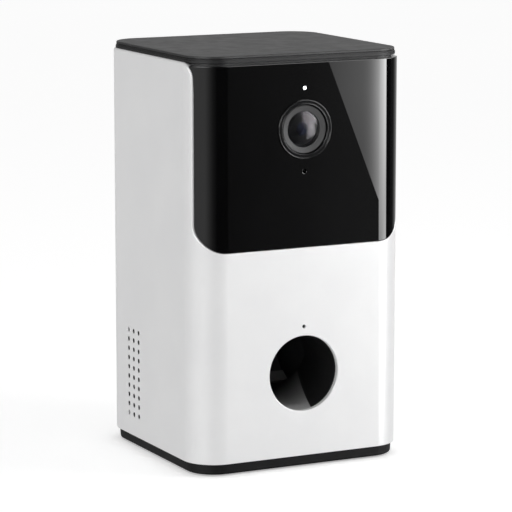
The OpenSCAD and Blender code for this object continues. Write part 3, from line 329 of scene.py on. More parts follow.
def shoulder_line(end_angle, radius, top):
    """The rounded upper corner of the side wall on the unrolled surface: a circle seen from the side, from
    the height where it leaves the window's upright edge to the given top."""
    overlap = 0.02
    edge_y = -CORNER_Y - CORNER_R * math.cos(WINDOW_WRAP)
    centre_y = edge_y + SEAM * math.sin(WINDOW_WRAP) + SHOULDER_R - overlap
    start_y = -CORNER_Y - CORNER_R * math.cos(end_angle)
    low = math.acos(min(1, (centre_y - start_y) / radius))
    angle = np.linspace(low, math.asin(min(1, (top - SHOULDER_Z) / radius)), 60)
    y, z = centre_y - radius * np.cos(angle), SHOULDER_Z + radius * np.sin(angle)
    on_corner = CORNER_X + CORNER_R * np.arccos(np.clip((-CORNER_Y - y) / CORNER_R, 0, 1))
    return np.column_stack([np.where(y < -CORNER_Y, on_corner, CORNER_X + QUARTER + y + CORNER_Y), z])


def circle_on(s, z, radius, count):
    """A round hole, travelled clockwise so that the wall lies on the left."""
    a = -np.linspace(0, 2 * math.pi, count, endpoint=False)
    return np.column_stack([s + radius * np.cos(a), z + radius * np.sin(a)])


def slot_on(s, z, width, height, count):
    """A slot with round ends lying level, travelled clockwise."""
    a = -np.linspace(0, 2 * math.pi, count, endpoint=False)
    shift = np.where(np.cos(a) > 0, 1, -1) * (width - height) / 2
    return np.column_stack([s + shift + height / 2 * np.cos(a), z + height / 2 * np.sin(a)])


def in_wall(places, edges):
    """Whether each place lies in the wall: a level line from it to the right crosses the edges an odd number
    of times."""
    across, level = places[:, :1], places[:, 1:]
    (start_s, start_z), (end_s, end_z) = edges[:, 0].T, edges[:, 1].T
    spans = (start_z > level) != (end_z > level)
    rise = np.where(end_z == start_z, 1, end_z - start_z)
    crossing = start_s + (level - start_z) * (end_s - start_s) / rise
    return (spans & (crossing > across)).sum(axis=1) % 2 == 1


# Turning of the normal from a wall's outer face over its rounded edge, and then on to the inner face
OUTER_TURN = np.radians([15, 30, 45, 60, 75, 90])
INNER_TURN = np.radians([90, 135, 180])


def wall_piece(name, outlines, holes, thickness, spacing, slot):
    """A wall that follows the body's side, with rounded edges all round. It is triangulated on the unrolled
    surface, then rolled up: a point at s and z stands at the body's place for s, taken in by its depth. Along
    an edge with radius r, a point whose normal has turned by a lies r (1 - sin a) back from the edge and
    r (1 - cos a) deep. outlines are outer edges and holes are inner ones: each is points, radius and whether
    it runs right round the body, travelled with the wall on its left. thickness gives the wall's thickness at
    an array of places."""
    edges = list(outlines) + list(holes)
    flat, links, twins = [], [], []
    offsets, sides = [], []
    count = 0
    for points, radius, all_round in edges:
        n = len(points)
        ahead = np.roll(points, -1, axis=0) - points
        behind = points - np.roll(points, 1, axis=0)
        if all_round:
            step = ROUND if points[-1, 0] > points[0, 0] else -ROUND
            ahead[-1, 0] += step
            behind[0, 0] += step
        along = ahead / np.hypot(*ahead.T)[:, None] + behind / np.hypot(*behind.T)[:, None]
        along /= np.hypot(*along.T)[:, None]
        side = np.column_stack([along[:, 1], -along[:, 0]])
        turn = np.cross(behind, ahead) / (np.hypot(*ahead.T) * np.hypot(*behind.T))
        bend = np.hypot(*ahead.T) / np.maximum(turn, 1e-6)
        tightest = np.minimum(bend, np.minimum(np.roll(bend, 1), np.roll(bend, -1)))
        radius = np.minimum(radius, 0.5 * tightest)[:, None]
        flat.append(points - side * radius)
        ids = count + np.arange(n)
        sides.append(side)
        offsets.append(radius)
        count += n
        if all_round:
            flat.append(flat[-1][:1] + [step, 0])
            twins.append((count, ids[0]))
            links.append(np.column_stack([ids, np.append(ids[1:], count)]))
            count += 1
        else:
            links.append(np.column_stack([ids, np.roll(ids, -1)]))
    edge_points = np.vstack(flat)
    # Two upright lines close the surface where it is unrolled
    if outlines[0][2]:
        low, high = flat[0][0], edge_points[twins[1][0]]
        rise = np.arange(low[1] + spacing, high[1] - spacing / 2, spacing)
        left = count + np.arange(len(rise))
        right = left + len(rise)
        upright = np.column_stack([np.full(len(rise), low[0]), rise])
        edge_points = np.vstack([edge_points, upright, upright + [ROUND, 0]])
        left_chain = np.concatenate([[0], left, [twins[1][0]]])
        right_chain = np.concatenate([[twins[0][0]], right, [twins[1][1]]])
        for chain in (left_chain, right_chain):
            links.append(np.column_stack([chain[:-1], chain[1:]]))
        twins += list(zip(right, left))
    # Points inside: close together across the corners, wider apart on the flats, and clear of the edges
    low_s, high_s = edge_points[:, 0].min(), edge_points[:, 0].max()
    laps = np.concatenate([ring_places(30) + lap * ROUND for lap in (-1, 0, 1)])
    s_lines = laps[(laps > low_s + 1) & (laps < high_s - 1)]
    z_lines = np.arange(edge_points[:, 1].min() + 1, edge_points[:, 1].max() - 1, spacing)
    grid = np.stack(np.meshgrid(s_lines, z_lines), axis=-1).reshape(-1, 2)
    links = np.vstack(links)
    grid = grid[in_wall(grid, edge_points[links])]
    clear = np.ones(len(grid), bool)
    nearest, squeeze, batches = 0.9, [1, 0.6], 20
    for part in np.array_split(np.arange(len(grid)), batches):
        gap = np.abs(grid[part, None, :] - edge_points[None, :, :]) * squeeze
        clear[part] = np.hypot(gap[..., 0], gap[..., 1]).min(axis=1) > nearest
    every = np.vstack([edge_points, grid[clear]])
    found = delaunay_2d_cdt([Vector(p) for p in every.tolist()], links.tolist(), [], 1, 1e-7, True)
    source = np.array([ids[0] for ids in found[3]])
    triangles = source[np.array(found[2])]
    on_edges = np.flatnonzero((triangles < len(edge_points)).all(axis=1))
    outside = on_edges[~in_wall(every[triangles[on_edges]].mean(axis=1), edge_points[links])]
    triangles = np.delete(triangles, outside, axis=0)
    same = np.arange(len(every))
    for twin, kept in twins:
        same[twin] = kept
    triangles = same[triangles]

    def rolled(points, depth, turn, side):
        place, out, along = round_body(points[:, 0], depth)
        level = np.cos(turn)[:, None] * out + np.sin(turn)[:, None] * side[:, :1] * along
        return np.column_stack([place, points[:, 1]]), np.column_stack([level, np.sin(turn) * side[:, 1]])

    # Outer face, inner face, and the strips between them along each edge
    nothing, no_side = np.zeros(len(every)), np.zeros((len(every), 2))
    points, normals = zip(rolled(every, nothing, nothing, no_side),
                          rolled(every, thickness(every), nothing + math.pi, no_side))
    points, normals = list(points), list(normals)
    inner = len(every) + np.arange(len(every))
    count = 2 * len(every)
    strips = []
    start = 0
    for k, (outline, _, all_round) in enumerate(edges):
        n = len(outline)
        rows = [start + np.arange(n)]
        outer_r, deep = offsets[k][:, 0], thickness(outline)
        inner_r = 0.1 * deep
        rounds = [(turn, outer_r, outer_r * (1 - math.cos(turn))) for turn in OUTER_TURN]
        rounds += [(turn, inner_r, deep - inner_r * (1 + math.cos(turn))) for turn in INNER_TURN]
        for turn, r, depth in rounds:
            back = r * (1 - math.sin(turn))
            place, normal = rolled(outline - sides[k] * back[:, None], depth, np.full(n, turn), sides[k])
            points.append(place)
            normals.append(normal)
            rows.append(count + np.arange(n))
            count += n
        inner[start:start + n] = rows[-1]
        for above, below in zip(rows[:-1], rows[1:]):
            strips.append(np.column_stack([above, below, np.roll(below, -1), np.roll(above, -1)]))
        start += n + (1 if all_round else 0)
    for twin, kept in twins:
        inner[twin] = inner[kept]
    faces = [triangles, inner[triangles][:, ::-1], np.vstack(strips)]
    points, normals = np.vstack(points), np.vstack(normals)
    used = np.unique(np.concatenate([f.ravel() for f in faces]))
    compact = np.zeros(len(points), int)
    compact[used] = np.arange(len(used))
    return new_piece(name, points[used], normals[used], [compact[f] for f in faces], "housing", slot)


# ---------------------------------------------------------------- materials


def fill_inputs(tree, node, inputs):
    """Sets a node's inputs: a value goes on its socket, and another socket is linked to it."""
    for key, value in inputs.items():
        if isinstance(value, bpy.types.NodeSocket):
            tree.links.new(value, node.inputs[key])
        else:
            node.inputs[key].default_value = value


def link_nodes(tree, kind, inputs, **settings):
    """A node with its settings and inputs."""
    node = tree.nodes.new(kind)
    for key, value in settings.items():
        setattr(node, key, value)
    fill_inputs(tree, node, inputs)
    return node


def ramp(tree, value, start, end, low=0.0, high=1.0):
    """A value carried over from the range start to end to the range low to high, and held at both ends."""
    return link_nodes(tree, "ShaderNodeMapRange", {
        "Value": value, "From Min": start, "From Max": end, "To Min": low, "To Max": high}).outputs[0]


def reckon(tree, operation, *values):
    """The result of one sum on values or sockets."""
    return link_nodes(tree, "ShaderNodeMath", dict(enumerate(values)), operation=operation).outputs[0]


def blend_colours(tree, amount, first, second):
    """Two colours mixed by an amount. Each is three numbers, or a socket."""
    first, second = ((*colour, 1) if isinstance(colour, tuple) else colour for colour in (first, second))
    return link_nodes(tree, "ShaderNodeMix", {0: amount, 6: first, 7: second}, data_type="RGBA").outputs[2]


def own_place(tree):
    """The piece's own coordinates, in metres."""
    return link_nodes(tree, "ShaderNodeTexCoord", {}).outputs["Object"]


def split_axes(tree, place):
    """The X, Y and Z of a place or a direction."""
    return link_nodes(tree, "ShaderNodeSeparateXYZ", {"Vector": place}).outputs


def object_noise(tree, size_mm, detail=3.0, stretch=(1, 1, 1)):
    """Noise on the piece's own coordinates, with grains of about the given size."""
    place = own_place(tree)
    if stretch != (1, 1, 1):
        place = link_nodes(tree, "ShaderNodeMapping", {"Vector": place, "Scale": stretch}).outputs[0]
    return link_nodes(tree, "ShaderNodeTexNoise", {
        "Vector": place, "Scale": 1000 / size_mm, "Detail": detail}).outputs[0]


def spread(tree, noise, low, high):
    """A noise value carried over to the range from low to high."""
    return ramp(tree, noise, 0.3, 0.7, low, high)


def raised(tree, height, strength, distance):
    """The normal of a surface raised by a height, over a distance in metres."""
    return link_nodes(tree, "ShaderNodeBump", {
        "Height": height, "Strength": strength, "Distance": distance}).outputs[0]


def empty_material(name):
    """A material with nothing in it, and its tree of nodes."""
    material = bpy.data.materials.new(name)
    material.use_nodes = True
    material.node_tree.nodes.clear()
    return material, material.node_tree


def start_finish(name):
    """A material with its surface shader, which is still plain."""
    material, tree = empty_material(name)
    shader = link_nodes(tree, "ShaderNodeBsdfPrincipled", {})
    link_nodes(tree, "ShaderNodeOutputMaterial", {"Surface": shader.outputs[0]})
    return material, tree, shader


def shader_of(material):
    """The surface shader of a material."""
    return next(n for n in material.node_tree.nodes if n.type == "BSDF_PRINCIPLED")


def moulded(name, colour, other, roughness, grain_mm=0.5, grain_depth=0.01, specular=0.5, mottle_mm=30.0,
            stretch=(1, 1, 1)):
    """Moulded plastic, rubber or the like: two close colours mixed in soft patches, a roughness that wanders
    between two values, and a fine grain as bump."""
    material, tree, shader = start_finish(name)
    patches = spread(tree, object_noise(tree, mottle_mm), 0, 1)
    fill_inputs(tree, shader, {
        "Base Color": blend_colours(tree, patches, colour, other),
        "Roughness": spread(tree, object_noise(tree, mottle_mm / 4), *roughness),
        "Specular IOR Level": specular,
        "Normal": raised(tree, object_noise(tree, grain_mm, 2.0, stretch), 0.6, grain_depth / 1000)})
    return material


def metal(name, colour, other, roughness, stretch):
    """Bare or plated metal, with drawn or turned marks as bump and uneven roughness."""
    material = moulded(name, colour, other, roughness, 0.4, 0.006, 0.5, 12.0, stretch)
    shader_of(material).inputs["Metallic"].default_value = 1
    return material


def polished_window():
    """Polished black plastic, with the faintest haze where it has been wiped."""
    material, tree, shader = start_finish("gloss_window")
    haze = spread(tree, object_noise(tree, 18, 4.0, (1, 1, 0.4)), 0, 1)
    fill_inputs(tree, shader, {
        "Base Color": blend_colours(tree, haze, (0.0014, 0.0014, 0.0016), (0.0022, 0.0022, 0.0024)),
        "Roughness": spread(tree, object_noise(tree, 25), 0.0, 0.014),
        "IOR": 1.5})
    return material


def clear_glass(name, tint, coat, roughness, film, film_roughness):
    """Optical glass with a coating that tints and weakens its reflections, and a trace of dust in its
    roughness. film is the weight of a satin coat on top, which spreads the highlights."""
    material, tree, shader = start_finish(name)
    dust = object_noise(tree, 1.5, 5.0)
    fill_inputs(tree, shader, {
        "Base Color": blend_colours(tree, dust, tint, tuple(0.97 * part for part in tint)),
        "Roughness": spread(tree, dust, *roughness),
        "Transmission Weight": 1,
        "IOR": 1.52,
        "Specular Tint": (*coat, 1),
        "Coat Weight": film,
        "Coat Roughness": film_roughness})
    return material


def lit_pipe():
    """A clear light pipe, lit from behind, with an uneven glow."""
    material, tree, shader = start_finish("light_pipe")
    fill_inputs(tree, shader, {
        "Base Color": blend_colours(tree, object_noise(tree, 0.8), (0.9, 0.92, 0.95), (0.8, 0.83, 0.9)),
        "Emission Color": (0.95, 0.97, 1, 1),
        "Emission Strength": spread(tree, object_noise(tree, 0.6), 2.6, 3.4),
        "Roughness": 0.3})
    return material


def solder_mask():
    """A circuit board: green mask over rows of tracks, which show lighter and stand a little proud."""
    material, tree, shader = start_finish("circuit_board")
    upright = link_nodes(tree, "ShaderNodeMapping", {
        "Vector": own_place(tree), "Rotation": (math.pi / 2, 0, 0)}).outputs[0]
    tracks = link_nodes(tree, "ShaderNodeTexBrick", {
        "Vector": upright, "Scale": 300.0, "Mortar Size": 0.08, "Color1": (0, 0, 0, 1),
        "Color2": (0.25, 0.25, 0.25, 1), "Mortar": (1, 1, 1, 1)}).outputs[0]
    fill_inputs(tree, shader, {
        "Base Color": blend_colours(tree, tracks, (0.008, 0.07, 0.035), (0.02, 0.16, 0.08)),
        "Roughness": spread(tree, object_noise(tree, 4), 0.25, 0.4),
        "Normal": raised(tree, tracks, 0.5, 0.00005)})
    return material


def chute_with_painted_light():
    """Satin black, with painted light: a grey patch painted on the lower left of the bore, standing in for
    light that falls there. The patch's right edge slants away from the middle as it goes in: it lies at X =
    slant times Y plus offset. The painted light fades into the black between the mouth and its end, a painted
    falloff."""
    slant, offset, edge = 0.32, 0.0254, 0.0004
    top, mouth_y, end_y = OUTLET_Z / 1000, -0.052, -0.012
    colours = (0.014, 0.014, 0.0145), (0.018, 0.018, 0.0185)
    material = moulded("black_chute", *colours, (0.3, 0.4), 0.5, 0.008, 0.4)
    tree, shader = material.node_tree, shader_of(material)
    x, y, z = split_axes(tree, own_place(tree))
    short = reckon(tree, "SUBTRACT", reckon(tree, "MULTIPLY_ADD", y, slant, offset), x)
    # Painted light: the grey patch on the bore's lower left, and its fade to black further in, stand in for
    # light falling there
    painted_light_patch = reckon(tree, "MULTIPLY", ramp(tree, short, 0.0, edge), ramp(tree, z, top, top - 0.002))
    painted_light_patch = reckon(tree, "MULTIPLY", painted_light_patch, ramp(tree, y, end_y, mouth_y))
    black = shader.inputs["Base Color"].links[0].from_socket
    # Painted light: the grey of the painted patch of light
    painted_light_grey = blend_colours(tree, object_noise(tree, 5), (0.42, 0.42, 0.42), (0.46, 0.46, 0.46))
    fill_inputs(tree, shader, {"Base Color": blend_colours(tree, painted_light_patch, black, painted_light_grey)})
    return material


# Two colours, the range of roughness, the grain's size and depth, the specular level, the size of the
# patches and the stretch of the grain
MOULDED = {
    "white_shell": ((0.80, 0.80, 0.805), (0.83, 0.83, 0.832), (0.30, 0.36), 0.35, 0.004, 1.0),
    "dark_base": ((0.008, 0.008, 0.0085), (0.011, 0.011, 0.0115), (0.45, 0.55), 0.4, 0.012, 0.12),
    "foot_rubber": ((0.02, 0.02, 0.021), (0.03, 0.03, 0.031), (0.75, 0.9), 0.7, 0.03, 0.3),
    "black_inner_plastic": ((0.012, 0.012, 0.0125), (0.017, 0.017, 0.018), (0.5, 0.6), 0.5, 0.01, 0.4),
    "lens_bezel_plastic": ((0.006, 0.006, 0.0065), (0.008, 0.008, 0.0085), (0.05, 0.09), 0.25, 0.001),
    "grey_lens_ring": ((0.07, 0.07, 0.071), (0.08, 0.08, 0.081), (0.5, 0.58), 0.2, 0.005, 0.15),
    "lamp_resin": ((0.03, 0.02, 0.028), (0.04, 0.028, 0.036), (0.1, 0.16), 1.0, 0.002),
    "lid_plastic": ((0.026, 0.026, 0.0265), (0.032, 0.032, 0.0325), (0.4, 0.48), 0.45, 0.008, 0.25),
    "lid_liner_plastic": ((0.012, 0.012, 0.0125), (0.016, 0.016, 0.0165), (0.4, 0.5), 0.5, 0.01, 0.2),
    "seal_rubber": ((0.11, 0.11, 0.11), (0.14, 0.14, 0.14), (0.7, 0.85), 0.8, 0.02, 0.3),
    "bin_plastic": ((0.74, 0.74, 0.72), (0.79, 0.79, 0.77), (0.4, 0.5), 0.4, 0.01, 0.45),
    "wheel_plastic": ((0.56, 0.17, 0.045), (0.62, 0.2, 0.055), (0.35, 0.45), 0.5, 0.01),
    "gear_plastic": ((0.7, 0.67, 0.56), (0.76, 0.73, 0.62), (0.35, 0.45), 0.6, 0.008),
    "chamber_plastic": ((0.03, 0.03, 0.032), (0.038, 0.038, 0.04), (0.4, 0.5), 0.5, 0.01),
    "paddle_plastic": ((0.025, 0.025, 0.026), (0.032, 0.032, 0.034), (0.35, 0.45), 0.5, 0.01),
    "speaker_paper": ((0.018, 0.018, 0.02), (0.03, 0.03, 0.032), (0.8, 0.95), 0.3, 0.03, 0.2),
    "chip_resin": ((0.016, 0.016, 0.018), (0.022, 0.022, 0.024), (0.5, 0.65), 0.2, 0.008, 0.4),
    "button_plastic": ((0.42, 0.42, 0.42), (0.47, 0.47, 0.47), (0.4, 0.5), 0.4, 0.01),
    "aerial_film": ((0.08, 0.05, 0.025), (0.12, 0.08, 0.04), (0.3, 0.4), 0.6, 0.01),
    "ribbon_film": ((0.74, 0.72, 0.66), (0.8, 0.78, 0.72), (0.35, 0.45), 0.6, 0.01, 0.5, 8.0, (8, 1, 1)),
}
# Two colours, the range of roughness, and the stretch of the drawn or turned marks
METALS = {
    "steel": ((0.58, 0.58, 0.6), (0.66, 0.66, 0.68), (0.2, 0.34), (1, 1, 6)),
    "brass": ((0.68, 0.48, 0.2), (0.74, 0.54, 0.25), (0.22, 0.36), (1, 1, 8)),
    "motor_steel": ((0.46, 0.47, 0.49), (0.54, 0.55, 0.57), (0.3, 0.42), (4, 1, 1)),
}
FINISHES = {name: moulded(name, *values) for name, values in MOULDED.items()}
FINISHES |= {name: metal(name, *values) for name, values in METALS.items()}
FINISHES |= {
    "gloss_window": polished_window(),
    "lens_glass": clear_glass("lens_glass", (0.95, 0.97, 1.0), (0.12, 0.09, 0.13), (0.02, 0.04), 0.4, 0.25),
    "coated_glass": clear_glass("coated_glass", (0.35, 0.4, 0.75), (0.4, 0.55, 1.0), (0.0, 0.03), 0.0, 0.1),
    "circuit_board": solder_mask(),
    "light_pipe": lit_pipe(),
    "black_chute": chute_with_painted_light(),
}

for part in frame["record"]["subparts"]:
    node = frame["nodes"][part["node"]]
    if not node.material_slots:
        node.data.materials.append(None)
    for held in node.material_slots:
        held.material = FINISHES[part["material_slot"]]

# ---------------------------------------------------------------- white shell and dark window


def both_halves(right_half):
    """A line from the middle to the right, with its mirror image to the left, running from left to right."""
    return np.vstack([right_half[:0:-1] * [-1, 1], right_half])


def shell_thickness(places):
    """The shell's wall, thinner in a pocket with round ends behind the grille: a place is in the pocket if it
    is nearer than the ends' radius to the pocket's upright middle line."""
    beside = places[:, 0] + CORNER_X + QUARTER + GRILLE_Y + CORNER_Y
    beyond = np.maximum(np.abs(places[:, 1] - GRILLE_Z) - (POCKET_H - POCKET_W) / 2, 0)
    return np.where(np.hypot(beside, beyond) < POCKET_W / 2, GRILLE_WALL, SHELL_WALL)


def grille_holes():
    """The speaker's holes in rows and columns on the left side, each with a lightly rounded edge."""
    row = (np.arange(GRILLE_ROWS) - (GRILLE_ROWS - 1) / 2) * GRILLE_PITCH_Z
    column = (np.arange(GRILLE_COLUMNS) - (GRILLE_COLUMNS - 1) / 2) * GRILLE_PITCH_Y
    return [(circle_on(-(CORNER_X + QUARTER + y + CORNER_Y), GRILLE_Z + z, GRILLE_HOLE_R, 20), 0.2, False)
            for y in GRILLE_Y + column for z in row]


def outer_shell_skin():
    """The white shell: its upper edge runs round the back at the rim, down both shoulders and round the
    window, and its radius eases from small under the window to larger on the uprights. The surface is
    unrolled at an upright line to one side of the middle of the back."""
    unroll_beside, bottom_points = 30, 240
    small_r, extra_r = 0.4, 0.9
    lower, end_angle = window_edge(SEAM)
    shoulder = shoulder_line(end_angle, SHOULDER_R, Z_RIM)
    right = np.vstack([lower, shoulder, [ROUND / 2 + unroll_beside, Z_RIM]])
    left = np.vstack([lower, shoulder, [ROUND / 2 - unroll_beside, Z_RIM]])
    top = soften(even_steps(np.vstack([left[:0:-1] * [-1, 1], right]), 0.7), 2, closed=False)
    eased = np.clip((top[:, 1] - WINDOW_Z - 1) / 12, 0, 1)
    top_radius = small_r + extra_r * eased ** 2 * (3 - 2 * eased)
    bottom_s = unroll_beside - ROUND / 2 + ROUND * np.arange(bottom_points) / bottom_points
    bottom = np.column_stack([bottom_s, np.full(bottom_points, Z_SHELL)])
    holes = [(circle_on(0, OUTLET_Z, OUTLET_R, 120), 0.6, False)]
    holes.append((circle_on(0, SENSOR_Z, SENSOR_R, 28), 0.15, False))
    holes += grille_holes()
    holes.append((slot_on(ROUND / 2, INLET_Z, INLET_W, INLET_H, 40), 0.3, False))
    holes.append((circle_on(ROUND / 2 - RESET_X, RESET_Z, RESET_R, 28), 0.25, False))
    top, top_radius = top[:-1][::-1], top_radius[:-1][::-1]
    outlines = [(bottom, 0.5, True), (top, top_radius, True)]
    return wall_piece("outer_shell_skin", outlines, holes, shell_thickness, 6.0, "white_shell")


def front_window_skin():
    """The dark window: one closed edge round it, and holes for the lens, the status light and the
    microphone. The edge's radius is larger on the uprights than above and below."""
    lower, end_angle = window_edge(0.0)
    outline = both_halves(np.vstack([lower, shoulder_line(end_angle, SHOULDER_R + SEAM, WINDOW_TOP)]))
    edge = soften(even_steps(np.vstack([outline, outline[:1]]), 0.6)[:-1], 2, closed=True)
    above_low = np.clip((edge[:, 1] - WINDOW_Z - 2) / 10, 0, 1)
    below_high = np.clip((SHOULDER_Z - 1 - edge[:, 1]) / 8, 0, 1)
    small_r, extra_r = 0.3, 0.6
    edge_r = small_r + extra_r * (above_low * below_high)
    holes = [(circle_on(0, LENS_Z, BEZEL_TUBE_R, 96), 0.2, False),
             (circle_on(0, STATUS_Z, STATUS_R, 28), 0.1, False),
             (circle_on(0, MICROPHONE_Z, MICROPHONE_R, 28), 0.3, False)]
    return wall_piece("front_window_skin", [(edge, edge_r, False)], holes,
                      lambda places: np.full(len(places), WINDOW_T), 5.0, "gloss_window")


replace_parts(outer_shell_skin(), "outer_shell")
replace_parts(front_window_skin(), "front_window")

# ---------------------------------------------------------------- lid


def lid_cover_skin():
    """The lid's cover: a narrow tongue below, a rounded lower lip, an upright side and a round edge to the
    flat top."""
    low, high = (corner[2] * 1000 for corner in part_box("lid_cover"))
    corners = [(-8, low), (-2.5, low), (-2.5, low + 0.25), (-1.5, low + 0.25), (-1.5, high), (-8, high)]
    profile, normals = rounded_profile(corners, [0, 0.04, 0.06, 0.15, 0.6, 0], 6)
    return body_sweep("lid_cover_skin", profile, normals, "lid", "lid_plastic")


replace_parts(lid_cover_skin(), "lid_cover")

# ---------------------------------------------------------------- lens

# Profiles here are radius and depth behind the window's face
LENS_ORIGIN = (0, FRONT_Y, LENS_Z)
GLASS_DEPTHS = (-0.7, 1.5, 4.0)
SECOND_LENS_DEPTHS = (4.15, 4.8, HOOD_BACK)


def lens_ring_piece(name, corners, radii, slot, arc_steps=5, steps=128):
    """A ring of the lens, turned about the lens's axis from a closed profile with rounded corners."""
    profile, normals = rounded_profile(corners, radii, arc_steps, True)
    return turned(name, profile, normals, LENS_ORIGIN, "housing", slot, steps, True)


def domed_lens(name, edge_r, depths, slot, arc_steps, steps):
    """A lens: an arc of a sphere from the middle out to the edge, the edge, and a flat back. The sphere's
    radius is the edge's radius squared plus the rise squared, over twice the rise. The depths are those of
    the dome's middle, its edge and the back."""
    front, edge, back = depths
    rise = edge - front
    dome_r = (edge_r ** 2 + rise ** 2) / (2 * rise)
    t = np.linspace(0, math.asin(edge_r / dome_r), arc_steps)
    dome = np.column_stack([dome_r * np.sin(t), front + dome_r * (1 - np.cos(t))])
    side = [(edge_r, edge + 0.02), (edge_r, back - 0.05), (edge_r - 0.05, back), (0, back)]
    normals = np.vstack([np.column_stack([np.sin(t), -np.cos(t)]), [(1, 0), (1, 0), (0, 1), (0, 1)]])
    return turned(name, np.vstack([dome, side]), normals, LENS_ORIGIN, "housing", slot, steps)


def lens_bezel_skin():
    """The bezel: a tube behind the window, and a face with a raised lip at its inner and outer edge."""
    back, face, inner_lip, outer_lip = 7, -0.4, -0.7, -0.8
    corners = [(BEZEL_BORE_R, back), (BEZEL_BORE_R, inner_lip), (BEZEL_BORE_R + 0.5, inner_lip),
               (BEZEL_BORE_R + 0.7, face), (BEZEL_R - 0.7, face), (BEZEL_R - 0.55, outer_lip),
               (BEZEL_R, outer_lip), (BEZEL_R, 0.0), (BEZEL_TUBE_R, 0.0), (BEZEL_TUBE_R, back)]
    radii = [0.2, 0.15, 0.12, 0.08, 0.08, 0.12, 0.22, 0.05, 0.05, 0.2]
    return lens_ring_piece("lens_bezel_skin", corners, radii, "lens_bezel_plastic")


def lens_ring_skin():
    """The grey ring: a sloping face, a ledge in its bore that the glass rests on, and a foot at the back that
    reaches the bezel."""
    back, foot, ledge_back, ledge = 7, 6, 5, 4
    corners = [(RING_BORE_R, back), (RING_BORE_R, ledge_back), (BARREL_R, ledge_back), (BARREL_R, ledge),
               (RING_BORE_R, ledge), (RING_BORE_R, 1.3), (RING_R - 0.5, 0.2), (RING_R, 0.6), (RING_R, foot),
               (BEZEL_BORE_R, foot), (BEZEL_BORE_R, back)]
    radii = [0.1, 0.1, 0.1, 0.1, 0.1, 0.12, 0.2, 0.15, 0.1, 0.1, 0.1]
    return lens_ring_piece("lens_ring_skin", corners, radii, "grey_lens_ring")


def lens_hood():
    """A hood across the barrel, close behind the front glass: three raised rings round the second lens."""
    corners = [(HOOD_R, HOOD_BACK), (HOOD_R, 4.9), (6.5, 4.8), (6.35, 4.5), (6.05, 4.5), (5.9, 4.8),
               (4.9, 4.75), (4.7, 4.3), (4.3, 4.3), (4.1, 4.6), (3.7, 4.6), (3.55, 4.35), (3.35, 4.35),
               (3.3, HOOD_BACK)]
    radii = [0.05] + [0.09] * (len(corners) - 2) + [0.05]
    return lens_ring_piece("lens_hood", corners, radii, "lens_bezel_plastic", 4, 96)


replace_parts(lens_bezel_skin(), "lens_bezel")
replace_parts(lens_ring_skin(), "lens_ring")
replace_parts(domed_lens("lens_glass_skin", GLASS_R, GLASS_DEPTHS, "lens_glass", 24, 128), "lens_glass")
lens_hood()
domed_lens("second_lens", SECOND_LENS_R, SECOND_LENS_DEPTHS, "coated_glass", 16, 96)

# ---------------------------------------------------------------- chute behind the outlet


def treat_chute_skin():
    """The tube behind the outlet. Its rings are circles of the inner and outer radius; at the back each point
    stops on the launch chamber's wall, a circle in Y and Z about the paddle's shaft, and no further back than
    2 mm short of the body's middle."""
    angle = np.linspace(0, 2 * math.pi, 120, endpoint=False)
    start, inner = FRONT_Y + SHELL_WALL, OUTLET_R
    outer, flange, flange_back = OUTLET_R + CHUTE_WALL, OUTLET_R + CHUTE_FLANGE_W, start + CHUTE_FLANGE_T

    def ring(radius, y=None):
        z = OUTLET_Z + radius * np.sin(angle)
        if y is None:
            y = np.minimum(-2, CHAMBER_Y - np.sqrt(np.maximum(CHAMBER_R ** 2 - (z - CHAMBER_Z) ** 2, 0)))
        return np.column_stack([radius * np.cos(angle), y + 0 * angle, z])

    def facing(out, back):
        return np.column_stack([out * np.cos(angle), back + 0 * angle, out * np.sin(angle)])

    rounding = 0.3
    k = np.linspace(0, math.pi / 2, 5)
    mouth = [(inner + rounding * (1 - math.cos(a)), start + rounding * (1 - math.sin(a)), a) for a in k]
    rings = [ring(inner)] + [ring(r, y) for r, y, _ in mouth]
    normals = [facing(-1, 0)] + [facing(-math.cos(a), -math.sin(a)) for _, _, a in mouth]
    for radius, y, out, back in ((flange, start, 0, -1), (flange, start, 1, 0), (flange, flange_back, 1, 0),
                                 (flange, flange_back, 0, 1), (outer, flange_back, 0, 1),
                                 (outer, flange_back, 1, 0), (outer, None, 1, 0), (outer, None, 0, 1),
                                 (inner, None, 0, 1)):
        rings.append(ring(radius, y))
        normals.append(facing(out, back))
    return skin_rings("treat_chute_skin", np.array(rings), np.array(normals), "housing", "black_chute", True)


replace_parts(treat_chute_skin(), "treat_chute")

# ---------------------------------------------------------------- floor, world and lights


def plain_floor():
    """A plain pale floor, and a soft mottle that is too faint to see as a pattern. It is in metres."""
    reach = 8
    corners = [(-reach, -reach, 0), (reach, -reach, 0), (reach, reach, 0), (-reach, reach, 0)]
    mesh = bpy.data.meshes.new("floor")
    mesh.from_pydata(corners, [], [(0, 1, 2, 3)])
    floor = bpy.data.objects.new("floor", mesh)
    bpy.context.scene.collection.objects.link(floor)
    material, tree, shader = start_finish("pale_floor")
    shade = spread(tree, object_noise(tree, 900), 0, 1)
    fill_inputs(tree, shader, {
        "Base Color": blend_colours(tree, shade, (0.9, 0.9, 0.9), (0.91, 0.91, 0.91)),
        "Roughness": 0.9,
        "Specular IOR Level": 0.0,
        "Emission Color": (1, 1, 1, 1),
        "Emission Strength": 0.37})
    mesh.materials.append(material)
    floor.visible_glossy = floor.visible_transmission = False


